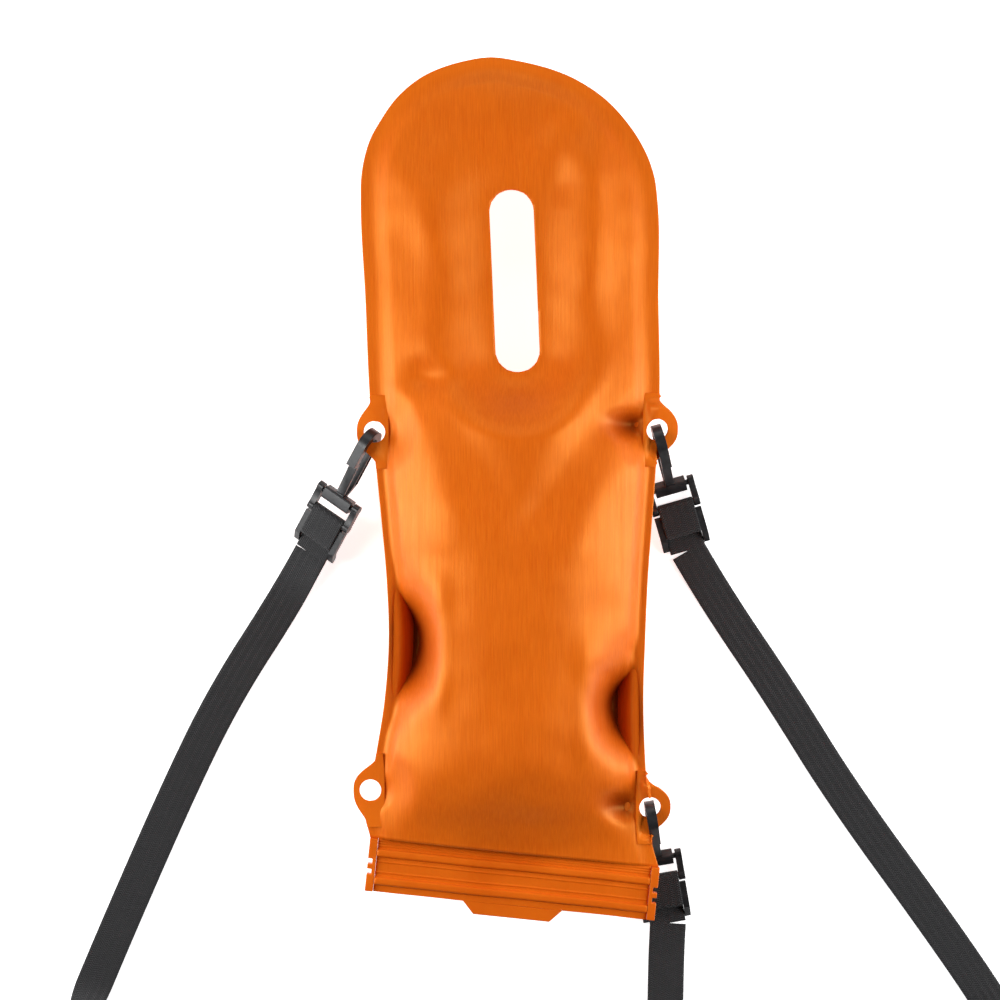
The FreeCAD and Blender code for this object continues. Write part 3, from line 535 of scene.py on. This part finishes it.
def front_height(x, y, gap, hole):
    """Front panel: lens, lowered round the slot, with its dents, folds and slack."""
    h = lens(x, y, FRONT_CREST, 3.5)
    h = h * (0.10 + 0.90 * smooth((hole + 1.0) / 50.0))
    body = smooth(gap / 30.0)
    h += 5.0 * crease(x, y, (-50.0, -40.0), (-51.0, -165.0), 9.0, 22.0)
    h -= 5.0 * crease(x, y, (-92.0, -40.0), (-60.0, -90.0), 12.0, 8.0)
    h -= 5.0 * crease(x, y, (-60.0, -112.0), (-88.0, -168.0), 8.0, 12.0)
    h -= 6.0 * crease(x, y, (56.0, -134.0), (92.0, -98.0), 11.0, 9.0)
    h += 4.0 * crease(x, y, (52.0, -80.0), (54.0, -205.0), 18.0, 10.0)
    h -= 5.0 * crease(x, y, (78.0, 86.0), (2.0, -44.0), 22.0, 14.0)
    h += 2.0 * crease(x, y, (92.0, 52.0), (30.0, -60.0), 14.0, 16.0)
    h -= 3.5 * crease(x, y, (-70.0, 94.0), (2.0, -20.0), 15.0, 24.0)
    h += 2.0 * crease(x, y, (-70.0, 60.0), (-30.0, -40.0), 16.0, 16.0)
    h -= 3.0 * crease(x, y, (2.0, 60.0), (4.0, -200.0), 26.0, 26.0)
    h -= 7.0 * bump(x, y, (-56.0, 78.0), (16.0, 11.0), -15)
    h += 4.5 * crease(x, y, (58.0, 262.0), (50.0, 96.0), 14.0, 20.0)
    h -= 2.5 * crease(x, y, (34.0, 262.0), (32.0, 190.0), 12.0, 12.0)
    h += 3.5 * crease(x, y, (-94.0, 262.0), (-26.0, 120.0), 24.0, 16.0)
    h -= 2.0 * crease(x, y, (-60.0, 280.0), (-10.0, 220.0), 20.0, 16.0)
    h += 0.9 * body * waves(x, y, 3, 90.0, 7)
    h += 0.22 * body * waves(x, y, 5, 34.0, 8)
    h = np.maximum(h, 0.0) * (0.4 + 0.6 * eye_room(x, y, 8.0, 26.0))
    h = h * smooth((gap - 3.0) / (16.0 - 6.0 * smooth((80.0 - y) / 80.0)))
    for at, sides, turn, depth, _ in DENTS:
        h = h - depth * pinch(x, y, at, *sides, turn) * smooth((gap - 2.0) / 9.0)
    return np.maximum(h, -16.0) * eye_room(x, y, 8.0, 9.0)


def painted_fold_shade(x, y):
    """How deep in a fold the sheet lies, 0 to 1, as painted shade: the colour there is painted a deeper red.
    """
    out = np.zeros_like(x)
    for at, sides, turn, _, shade in DENTS:
        out = np.maximum(out, shade * pinch(x, y, at, *sides, turn))
    return out


def back_height(x, y, gap, hole):
    """Back panel: lens pressed flat on the table, with a little slack."""
    h = lens(x, y, BACK_CREST, 5.0)
    h = h * smooth((hole - 3.0) / 44.0)
    body = smooth(gap / 24.0)
    h += 1.2 * body * waves(x, y, 11, 80.0, 7)
    rest = SEAM - GAUGE - 0.05
    h = np.where(h > rest - 5, rest - 5 + 5 * np.tanh((h - rest + 5) / 5), h)
    return np.maximum(h, 0.0) * smooth((gap - 5.0) / 14.0) * eye_room(x, y, 8.0, 22.0)


EYES = {
    "upper_left": (-92.8, 40.8),
    "upper_right": (99.3, 42.2),
    "lower_left": (-95.5, -202.4),
    "lower_right": (94.4, -214.2),
}


def build_panel(name, front):
    """One welded panel as a height over the plan grid, with the slot and eyelets cut."""
    x, y = panel_grid()
    hole, ex, ey = slot_gap(x, y)
    near = (hole < 0.0) & (hole > -1.7)
    reach = np.maximum(np.hypot(ex, ey), 1e-6)
    x = np.where(near, x - ex / reach * hole, x)
    y = np.where(near, y - ey / reach * hole, y)
    keep = hole > -1.7
    for cx, cy in EYES.values():
        d = np.hypot(x - cx, y - cy)
        inside = d < 8.3
        scale = np.where(inside & (d > 6.4), 8.3 / np.maximum(d, 1e-6), 1.0)
        x = cx + (x - cx) * scale
        y = cy + (y - cy) * scale
        keep &= ~(inside & (d <= 6.4))
    gap = edge_gap(x, y)
    gap = np.where(gap < 0.02, 0.0, gap)
    hole = np.maximum(slot_gap(x, y)[0], 0.0)
    if front:
        z = SEAM + GAUGE + front_height(x, y, gap, hole)
    else:
        z = SEAM - GAUGE - back_height(x, y, gap, hole)
    points = np.stack([x, y, z], -1).reshape(-1, 3)
    faces = grid_faces(ROWS, COLS)
    if not front:
        faces = faces[:, ::-1]
    good = keep.ravel()[faces].all(1)
    faces = faces[good]
    used, faces = np.unique(faces, return_inverse=True)
    faces = faces.reshape(-1, 4)
    points = points[used]
    obj = make_mesh(name, points, faces)
    # painted highlight: a band about 3 mm in from the edge where the colour is lightened
    weld = np.exp(-(((gap - 3.0) / 3.5) ** 2)) * 0.3
    point_value(obj, "weld", weld.ravel()[used])
    # painted shade in the folds of the dents, front panel only
    depth = painted_fold_shade(x, y) if front else np.zeros_like(x)
    point_value(obj, "painted_fold_shade", depth.ravel()[used])
    obj.data.materials.append(MATS["panel"])
    add_thickness(obj, GAUGE - 0.1)
    return obj


def sweep_stadium(name, inner, profile, samples=96):
    """Profile (out, z) carried round the slot's edge, set off by inner."""
    r = SLOT_WIDE / 2
    a = (SLOT_LONG - SLOT_WIDE) / 2
    side = np.array([-SLOT_WAY[1], SLOT_WAY[0]])
    turn = np.linspace(0, math.pi, samples // 3)
    cap = np.stack([np.sin(turn), np.cos(turn)], -1)
    straight = np.linspace(1, -1, samples // 6 + 2)[1:-1]
    centre = [np.tile(SLOT_MID + SLOT_WAY * a, (len(turn), 1))]
    normal = [cap[:, :1] * SLOT_WAY + cap[:, 1:] * side]
    centre.append(SLOT_MID + SLOT_WAY * a * straight[:, None])
    normal.append(np.tile(-side, (len(straight), 1)))
    centre.append(np.tile(SLOT_MID - SLOT_WAY * a, (len(turn), 1)))
    normal.append(-cap[:, :1] * SLOT_WAY - cap[:, 1:] * side)
    centre.append(SLOT_MID - SLOT_WAY * a * straight[:, None])
    normal.append(np.tile(side, (len(straight), 1)))
    c = np.vstack(centre)
    n = np.vstack(normal)
    p = np.asarray(profile, float)
    xy = c[:, None] + n[:, None] * (r + inner + p[None, :, :1])
    z = np.broadcast_to(p[None, :, 1:], (len(c), len(p), 1))
    points = np.concatenate([xy, z], -1).reshape(-1, 3)
    obj = make_mesh(name, points, grid_faces(len(c), len(p), True, True))
    mesh_outward(obj)
    return obj


def mesh_outward(obj):
    """Point every face of a closed mesh outward."""
    work = bmesh.new()
    work.from_mesh(obj.data)
    bmesh.ops.recalc_face_normals(work, faces=work.faces)
    work.to_mesh(obj.data)
    work.free()


# ------------------------------------------------------------------ eyelet tabs
EYE_RADIUS = 7.3
TAB_SHEET = 1.7
TAB_LENGTH = 25.0
DROOPS = {"upper_left": 8.0, "upper_right": 25.0, "lower_left": 0.0, "lower_right": 25.0}
REACH = {"upper_left": 12.0, "upper_right": 14.2, "lower_left": 11.5, "lower_right": 14.0}
HEADING = {
    "upper_left": (-0.487, -0.873), "upper_right": (0.276, -0.961),
    "lower_left": (-0.3, -0.954), "lower_right": (0.17, -0.985),
}


def tab_outline(name):
    """Plan of a tab: straight weld line inboard; outboard the bag's edge swelling into an ear,
    the swell being (1 - |t|^2.6)^1.7 over its length."""
    cx, cy = EYES[name]
    out = -1.0 if name.endswith("left") else 1.0
    line = LEFT_LINE if out < 0 else RIGHT_LINE
    y = np.linspace(-TAB_LENGTH, TAB_LENGTH, 61)
    edge = side_x(line, cy + y)
    t = np.clip(np.abs(y / 20.5), 0.0, 1.0)
    swell = (1.0 - t**2.6) ** 1.7
    ear = cx + out * REACH[name]
    outer = edge + (ear - edge) * swell
    inner = np.full(31, cx - out * 9.6)
    yi = np.linspace(TAB_LENGTH, -TAB_LENGTH, 31)
    inner = np.clip(inner, -200, 200) + out * 1.2 * np.abs(yi / TAB_LENGTH) ** 3
    return np.vstack([np.stack([outer, cy + y], -1), np.stack([inner, cy + yi], -1)])


def lash_tab(name):
    """Welded tab: rings from the eyelet's edge out to the outline, its ear drooping outboard."""
    cx, cy = EYES[name]
    out = -1.0 if name.endswith("left") else 1.0
    ring = tab_outline(name)
    rel = ring - (cx, cy)
    angle = np.arctan2(rel[:, 1], rel[:, 0])
    hole = np.stack([np.cos(angle), np.sin(angle)], -1) * EYE_RADIUS
    k = np.linspace(0.0, 1.0, 14)[:, None, None]
    plan = hole[None] * (1 - k) + rel[None] * k
    x = cx + plan[..., 0]
    y = cy + plan[..., 1]
    way = np.array(HEADING[name]) / np.linalg.norm(HEADING[name])
    fall = math.tan(math.radians(DROOPS[name]))
    d = plan[..., 0] * way[0] + plan[..., 1] * way[1]
    reach = smooth((out * plan[..., 0] + 9.0) / 9.0) * smooth(1.0 - (np.abs(plan[..., 1]) - 14.0) / 9.0)
    z = SEAM + GAUGE + TAB_SHEET + 0.15 - fall * d * reach
    points = np.stack([x, y, z], -1).reshape(-1, 3)
    obj = make_mesh(name.capitalize() + "_tab", points, grid_faces(14, len(ring), False, True))
    work = bmesh.new()
    work.from_mesh(obj.data)
    bmesh.ops.recalc_face_normals(work, faces=work.faces)
    if sum(f.normal.z for f in work.faces) < 0:
        bmesh.ops.reverse_faces(work, faces=work.faces)
    work.to_mesh(obj.data)
    work.free()
    add_thickness(obj, TAB_SHEET)
    add_bevel(obj, 0.45, 2)
    obj.data.materials.append(MATS["sheet"])
    return obj


# ------------------------------------------------------------------ press-seal mouth
def seal_profile(closed_gap):
    """Strip section from the panel edge to the lip: plate, fine lines and two rounded ribs."""
    up = np.linspace(STRIP_DEPTH, 0.0, 140)
    rise = np.full_like(up, 1.6)
    for centre in (7.5, 26.5):
        rise += 2.5 * np.clip(1.0 - (np.abs(up - centre) / 2.9) ** 4, 0.0, 1.0) ** 0.5
    for centre in (31.3, 33.0, 34.7):
        rise += 0.45 * np.exp(-(((up - centre) / 0.42) ** 2))
    for centre in (13.4, 20.6):
        rise += 0.5 * np.exp(-(((up - centre) / 0.55) ** 2))
    outer = np.stack([up, closed_gap + rise], -1)
    inner = np.stack([up[::-1], np.full_like(up, closed_gap)], -1)
    return np.vstack([outer, inner])


def build_strip(name, side):
    """Sealing strip: its section carried along the mouth with a faint wave in its edge."""
    section = seal_profile(SEAL_GAP)
    t = np.linspace(-STRIP_HALF, STRIP_HALF, STRIP_ROWS)
    rows, cols = len(t), len(section)
    wave = 0.35 * np.sin(t / 23.0) + 0.22 * np.sin(t / 9.0 + 1.0)
    fade = smooth((STRIP_DEPTH - section[:, 0]) / 12.0)
    sink = 0.25 * np.exp(-(((t - 20) / 14.0) ** 2))
    up = section[None, :, 0] + wave[:, None] * fade[None, :] * 0.4
    z = SEAM + side * (section[None, :, 1] - sink[:, None] * (section[None, :, 1] > 0.5))
    xy = MOUTH + t[:, None, None] * ACROSS + up[..., None] * UPWARD
    points = np.concatenate([xy, z[..., None]], -1)
    flat = points.reshape(-1, 3)
    obj = make_mesh(name, flat, grid_faces(rows, cols, False, True))
    mesh = obj.data
    work = bmesh.new()
    work.from_mesh(mesh)
    bmesh.ops.holes_fill(work, edges=[e for e in work.edges if e.is_boundary], sides=0)
    bmesh.ops.recalc_face_normals(work, faces=work.faces)
    work.to_mesh(mesh)
    work.free()
    obj.data.materials.append(MATS["strip"])
    return obj


# ------------------------------------------------------------------ straps
def spline_points(name, route, height):
    """Even points along the smooth spline whose control points are the route."""
    curve = bpy.data.curves.new(name, "CURVE")
    curve.dimensions = "3D"
    curve.resolution_u = 24
    line = curve.splines.new("NURBS")
    line.points.add(len(route) - 1)
    for k, (px, py) in enumerate(route):
        line.points[k].co = (px * MM, py * MM, height[k] * MM, 1.0)
    line.order_u = 3
    line.use_endpoint_u = True
    holder = bpy.data.objects.new(name, curve)
    bpy.context.scene.collection.objects.link(holder)
    mesh = bpy.data.meshes.new_from_object(holder)
    co = np.zeros(len(mesh.vertices) * 3)
    mesh.vertices.foreach_get("co", co)
    bpy.data.objects.remove(holder)
    p = co.reshape(-1, 3) / MM
    s = np.r_[0.0, np.cumsum(np.linalg.norm(np.diff(p, axis=0), axis=1))]
    even = np.linspace(0.0, s[-1], int(s[-1] / 3.0))
    return np.stack([np.interp(even, s, p[:, k]) for k in range(3)], -1), even


WEB_WIDE = 25.0
WEB_GAUGE = 1.4
LEAVES = 46.0


def ribbon_section():
    """Webbing section: flat faces, round selvedges."""
    turn = np.linspace(-math.pi / 2, math.pi / 2, 7)
    r = WEB_GAUGE / 2
    right = np.stack([WEB_WIDE / 2 - r + r * np.cos(turn), r * np.sin(turn)], -1)
    left = np.stack([-(WEB_WIDE / 2 - r) - r * np.cos(turn), -r * np.sin(turn)], -1)
    top = np.stack([np.linspace(WEB_WIDE / 2 - 2, -WEB_WIDE / 2 + 2, 9), np.full(9, r)], -1)
    low = np.stack([np.linspace(-WEB_WIDE / 2 + 2, WEB_WIDE / 2 - 2, 9), np.full(9, -r)], -1)
    return np.vstack([right, top, left, low])


def ribbon(name, line, wide, thin, travel):
    """Webbing along a line: its section carried in the wide and thin directions, ends closed."""
    section = ribbon_section()
    points = line[:, None] + wide[:, None] * section[None, :, :1] + thin[:, None] * section[None, :, 1:]
    rows, cols = len(line), len(section)
    u = np.tile(section[:, 0] / WEB_WIDE + 0.5, rows)
    v = np.repeat(travel * MM, cols)
    faces = [tuple(f) for f in grid_faces(rows, cols, False, True)]
    faces.append(tuple(range(cols))[::-1])
    faces.append(tuple(range((rows - 1) * cols, rows * cols)))
    obj = make_mesh(name, points.reshape(-1, 3), faces)
    mesh_outward(obj)
    obj.data.set_sharp_from_angle(angle=math.radians(60))
    flat_map(obj, u, v)
    obj.data.materials.append(MATS["webbing"])
    return obj


def unit(a):
    """Vectors of length one."""
    return a / np.linalg.norm(a, axis=-1, keepdims=True)


def strap_frame(line, travel, stand, first=None, last=None):
    """Wide and thin directions along a strap: flat turned on edge by stand degrees, and
    eased into the loops' own directions over its first and last stretch."""
    way = unit(np.gradient(line, axis=0))
    side = unit(np.cross([0.0, 0.0, 1.0], way))
    up = np.cross(way, side)
    q = np.radians(stand)[:, None]
    wide = side * np.cos(q) + up * np.sin(q)
    if first is not None:
        near = smooth(1.0 - travel / 55.0)[:, None]
        wide = wide * (1 - near) + np.asarray(first) * near
    if last is not None:
        near = smooth(1.0 - (travel[-1] - travel) / 55.0)[:, None]
        wide = wide * (1 - near) + np.asarray(last) * near
    wide = unit(wide - way * (wide * way).sum(1, keepdims=True))
    return wide, np.cross(way, wide)


def loop_frame(name):
    """Pin of a loop and its own axes: along the strap, across it and up, from the joints."""
    joints = {j["name"]: j for j in frame["joints"]}
    pin = np.array(joints["tilt_" + name]["pos_m"]) / MM
    along = np.array(joints["adjust_" + name]["axis"], float)
    across = np.array(joints["tilt_" + name]["axis"], float)
    return pin, along, across, np.cross(along, across)


def arc(cx, cz, r, start, stop, count):
    """Points on an arc, angles in degrees."""
    a = np.radians(np.linspace(start, stop, count))
    return np.stack([cx + r * np.cos(a), cz + r * np.sin(a)], -1)


def fold_ribbon(name, node, body):
    """Webbing sewn round the slide's bar, over the slide and back round the loop's bar."""
    pin, along, across, up = loop_frame(name)
    path = np.vstack([
        [(29.4, -1.5)],
        arc(32.6, 0.4, 1.92, -92, 92, 12),
        [(31.6, 2.38), (29.3, 2.62), (27.0, 2.75), (22.0, 2.85), (18.0, 2.92)],
        arc(14.0, 0.0, 2.95, 84, 262, 20),
        [(18.0, -3.1), (24.0, -3.1), (30.0, -3.1), (36.0, -3.1), (41.0, -3.1), (LEAVES, -3.1)],
    ])
    line = pin + path[:, :1] * along + path[:, 1:] * up
    way = unit(np.gradient(line, axis=0))
    travel = np.r_[0.0, np.cumsum(np.linalg.norm(np.diff(line, axis=0), axis=1))]
    wide = np.tile(across, (len(line), 1))
    obj = ribbon("Fold_" + name, line, wide, np.cross(way, wide), travel - travel[-1])
    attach(obj, body)
    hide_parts(node)
    return obj


def strap_height(travel, stand, first, last):
    """Middle of the strap over the table: half its upright extent, lifted at both ends."""
    q = np.radians(stand)
    rest = WEB_WIDE / 2 * np.abs(np.sin(q)) + WEB_GAUGE / 2 * np.abs(np.cos(q)) + 0.15
    a = smooth(1.0 - travel / 40.0)
    b = smooth(1.0 - (travel[-1] - travel) / 25.0)
    return rest * (1 - a) * (1 - b) + first * a + last * b


def ease(s, rows):
    """Smooth reading of a table of (length, value)."""
    out = np.full_like(s, rows[0][1])
    for (s0, v0), (s1, v1) in zip(rows, rows[1:]):
        out = np.where(s > s0, v0 + (v1 - v0) * smooth((s - s0) / (s1 - s0)), out)
    return out


# ------------------------------------------------------------------ operators
class BagProperties(bpy.types.PropertyGroup):
    """Sizes and colours a user would change."""

    orange: bpy.props.FloatVectorProperty(
        name="Sheet colour", description="Colour of the coated cloth", subtype="COLOR",
        size=3, min=0.0, max=1.0, default=(0.74, 0.132, 0.005))
    black: bpy.props.FloatVectorProperty(
        name="Hardware colour", description="Colour of hooks and slides", subtype="COLOR",
        size=3, min=0.0, max=1.0, default=(0.008, 0.008, 0.009))
    camera_height: bpy.props.FloatProperty(
        name="Camera height", description="Height of the camera over the seam",
        unit="LENGTH", default=1.9)
    view_width: bpy.props.FloatProperty(
        name="View width", description="Width seen at the seam's height", unit="LENGTH", default=0.680)


class CARRYBAG_OT_stage(bpy.types.Operator):
    """Floor, lights, world and camera"""

    bl_idname = "carrybag.stage"
    bl_label = "Stage"

    def execute(self, context):
        props = context.scene.carry_bag
        build_materials(props)
        mesh = bpy.data.meshes.new("Floor")
        s = 6.0
        mesh.from_pydata([(-s, -s, 0), (s, -s, 0), (s, s, 0), (-s, s, 0)], [], [(0, 1, 2, 3)])
        floor = bpy.data.objects.new("Floor", mesh)
        context.scene.collection.objects.link(floor)
        mat, _, _, shader = new_material("Pale_floor")
        shader.inputs["Base Color"].default_value = (0.9, 0.9, 0.9, 1)
        shader.inputs["Roughness"].default_value = 0.8
        shader.inputs["Emission Color"].default_value = (1, 1, 1, 1)
        shader.inputs["Emission Strength"].default_value = 0.8
        mesh.materials.append(mat)
        for name, place, size, power, aim in (
            ("Left_softbox", (-1.15, 0.0, 0.33), (0.5, 2.0), 31, (0, -0.02, 0.03)),
            ("Right_softbox", (1.15, 0.0, 0.33), (0.5, 2.0), 29, (0, -0.02, 0.03)),
            ("Top_softbox", (0.0, 1.3, 0.9), (1.2, 0.5), 5.0, (0, 0, 0.03)),
        ):
            light = bpy.data.lights.new(name, "AREA")
            light.shape = "RECTANGLE"
            light.size = size[0]
            light.size_y = size[1]
            light.energy = power
            holder = bpy.data.objects.new(name, light)
            holder.location = place
            holder.rotation_euler = (Vector(aim) - Vector(place)).to_track_quat("-Z", "Y").to_euler()
            context.scene.collection.objects.link(holder)
        world = bpy.data.worlds.new("Studio")
        world.use_nodes = True
        world.node_tree.nodes["Background"].inputs[0].default_value = (1, 1, 1, 1)
        world.node_tree.nodes["Background"].inputs[1].default_value = 0.06
        context.scene.world = world
        context.scene.view_settings.view_transform = "Standard"
        camera = bpy.data.cameras.new("Camera")
        holder = bpy.data.objects.new("Camera", camera)
        height = props.camera_height
        camera.sensor_width = 36.0
        camera.lens = 36.0 * height / props.view_width
        holder.location = (-0.0075, -0.0054, height + SEAM * MM)
        holder.rotation_euler = (0.0, 0.0, 0.0)
        context.scene.collection.objects.link(holder)
        context.scene.camera = holder
        return {"FINISHED"}


class CARRYBAG_OT_straps(bpy.types.Operator):
    """Two webbing straps, the stretches by their hooks and the folds in their slides"""

    bl_idname = "carrybag.straps"
    bl_label = "Straps"

    def execute(self, context):
        for name in ("upper_left", "upper_right", "lower_right"):
            fold_ribbon(name, "strap_fold_" + name, "loop_" + name)
        fold_ribbon("spare", "strap_fold_spare", "bag")
        for title, route, node, first_name, last_name, lead in (
            ("Cross_strap", CROSS_ROUTE, "strap_cross", "upper_left", "lower_right", CROSS_LEADS),
            ("Free_strap", FREE_ROUTE, "strap_free", "upper_right", "spare", FREE_LEADS),
        ):
            self.strap(title, route, node, first_name, last_name, lead)
        return {"FINISHED"}

    def strap(self, title, route, node, first_name, last_name, lead):
        """One strap cut into a free middle and the stretches near its hooks."""
        pin_a, along_a, across_a, up_a = loop_frame(first_name)
        pin_b, along_b, across_b, up_b = loop_frame(last_name)
        start = pin_a + along_a * LEAVES - up_a * 3.1
        stop = pin_b + along_b * LEAVES - up_b * 3.1
        middle = [(x / MM, y / MM) for x, y in route[1:-1]]
        route = [tuple(start[:2])] + middle + [tuple(stop[:2])]
        line, travel = spline_points(title, route, [0.0] * len(route))
        total = travel[-1]
        if title == "Cross_strap":
            stand = ease(travel, [(330, 0), (390, 90), (total - 112, 90), (total - 52, 0)])
        else:
            stand = ease(travel, [(362, 0), (425, 90), (total - 145, 90), (total - 82, 0)])
        line[:, 2] = strap_height(travel, stand, start[2], stop[2])
        wide, thin = strap_frame(line, travel, stand, across_a, -across_b)
        marks = [0, *(int(np.searchsorted(travel, s)) for s in lead[:2])]
        tail = [int(np.searchsorted(travel, total - s)) for s in lead[2:][::-1]] if lead[2] else []
        last = len(travel) - 1
        stretches = [(marks[0], marks[1], first_name, "near"), (marks[1], marks[2], first_name, "far")]
        if tail:
            stretches += [(tail[1], last, last_name, "near"), (tail[0], tail[1], last_name, "far")]
        for a, b, hook, end in stretches:
            cut = slice(a, b + 1)
            piece = ribbon("Lead_%s_%s" % (end, hook), line[cut], wide[cut], thin[cut], travel[cut])
            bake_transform(piece)
        a, b = marks[2], tail[0] if tail else last
        cut = slice(a, b + 1)
        free = ribbon(title, line[cut], wide[cut], thin[cut], travel[cut])
        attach(free, "bag")
        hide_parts(node)


class CARRYBAG_OT_panels(bpy.types.Operator):
    """Front and back panels of the bag, and the rim of the hand slot"""

    bl_idname = "carrybag.panels"
    bl_label = "Panels"

    def execute(self, context):
        front = build_panel("Front_sheet", True)
        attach(front, "bag")
        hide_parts("front_panel")
        back = build_panel("Back_sheet", False)
        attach(back, "bag")
        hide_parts("back_panel")
        turn = np.linspace(0, 2 * math.pi, 20, endpoint=False)
        profile = np.stack([
            RIM_WIDE / 2 + 0.1 + RIM_WIDE / 2 * np.cos(turn),
            SEAM + RIM_TALL * np.sign(np.sin(turn)) * np.abs(np.sin(turn)) ** 0.5,
        ], -1)
        rim = sweep_stadium("Slot_rim", 0.0, profile)
        rim.data.materials.append(MATS["sheet"])
        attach(rim, "bag")
        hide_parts("hand_slot_rim")
        return {"FINISHED"}


class CARRYBAG_OT_mouth(bpy.types.Operator):
    """Sealing strips of the mouth, their end stops and pull tabs"""

    bl_idname = "carrybag.mouth"
    bl_label = "Mouth"

    def execute(self, context):
        front = build_strip("Front_seal", 1)
        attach(front, "closure_front")
        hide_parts("closure_front_strip")
        back = build_strip("Back_seal", -1)
        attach(back, "bag")
        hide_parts("closure_back_strip")
        for node in ("closure_end_left", "closure_end_right", "front_pull_tab", "back_pull_tab"):
            finished_copy(node, node.capitalize() + "_moulding", "strip", 0.5)
        return {"FINISHED"}


class CARRYBAG_OT_tabs(bpy.types.Operator):
    """Welded eyelet tabs"""

    bl_idname = "carrybag.tabs"
    bl_label = "Eyelet tabs"

    def execute(self, context):
        for name in EYES:
            obj = lash_tab(name)
            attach(obj, "bag")
            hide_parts("lash_tab_" + name)
        return {"FINISHED"}


class CARRYBAG_OT_hardware(bpy.types.Operator):
    """Snap hooks, their gates, webbing loops and slides"""

    bl_idname = "carrybag.hardware"
    bl_label = "Hooks and slides"

    def execute(self, context):
        for name in ("upper_left", "upper_right", "lower_right", "spare"):
            for part, title, round_by in (
                ("hook_body_", "Snap_hook_", 0.8),
                ("hook_gate_", "Gate_", 0.4),
                ("hook_loop_", "Webbing_loop_", 0.7),
                ("adjuster_", "Slide_", 0.6),
            ):
                finished_copy(part + name, title + name, "plastic", round_by)
        return {"FINISHED"}


def finished_copy(node, title, finish, round_by):
    """Merged copy of a CAD node with rounded edges and its finish, which stands for the node."""
    work = bmesh.new()
    work.from_mesh(frame["nodes"][node].data)
    bmesh.ops.remove_doubles(work, verts=work.verts, dist=2e-6)
    bmesh.ops.dissolve_limit(work, angle_limit=math.radians(1.5), verts=work.verts, edges=work.edges)
    mesh = bpy.data.meshes.new(title)
    work.to_mesh(mesh)
    work.free()
    mesh.polygons.foreach_set("use_smooth", np.full(len(mesh.polygons), True))
    mesh.set_sharp_from_angle(angle=math.radians(32))
    obj = bpy.data.objects.new(title, mesh)
    bpy.context.scene.collection.objects.link(obj)
    mesh.materials.append(MATS[finish])
    if round_by:
        add_bevel(obj, round_by, 3)
    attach(obj, frame["nodes"][node]["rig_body"])
    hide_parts(node)
    return obj


class CARRYBAG_PT_panel(bpy.types.Panel):
    """Lists the bag's pieces"""

    bl_label = "Carry bag"
    bl_space_type = "VIEW_3D"
    bl_region_type = "UI"
    bl_category = "Carry bag"

    def draw(self, context):
        props = context.scene.carry_bag
        for name in ("orange", "black", "camera_height", "view_width"):
            self.layout.prop(props, name)
        for operator in OPERATORS:
            self.layout.operator(operator.bl_idname)


OPERATORS = (
    CARRYBAG_OT_stage,
    CARRYBAG_OT_straps,
    CARRYBAG_OT_panels,
    CARRYBAG_OT_mouth,
    CARRYBAG_OT_tabs,
    CARRYBAG_OT_hardware,
)


def register():
    """Add the classes and the property group."""
    bpy.utils.register_class(BagProperties)
    for operator in OPERATORS:
        bpy.utils.register_class(operator)
    bpy.utils.register_class(CARRYBAG_PT_panel)
    bpy.types.Scene.carry_bag = bpy.props.PointerProperty(type=BagProperties)


def unregister():
    """Take the classes and the property group away."""
    del bpy.types.Scene.carry_bag
    bpy.utils.unregister_class(CARRYBAG_PT_panel)
    for operator in reversed(OPERATORS):
        bpy.utils.unregister_class(operator)
    bpy.utils.unregister_class(BagProperties)


def main():
    """Build every piece."""
    register()
    bpy.ops.carrybag.stage()
    bpy.ops.carrybag.straps()
    bpy.ops.carrybag.panels()
    bpy.ops.carrybag.mouth()
    bpy.ops.carrybag.tabs()
    bpy.ops.carrybag.hardware()
    bpy.context.view_layer.update()


if __name__ == "__main__":
    main()
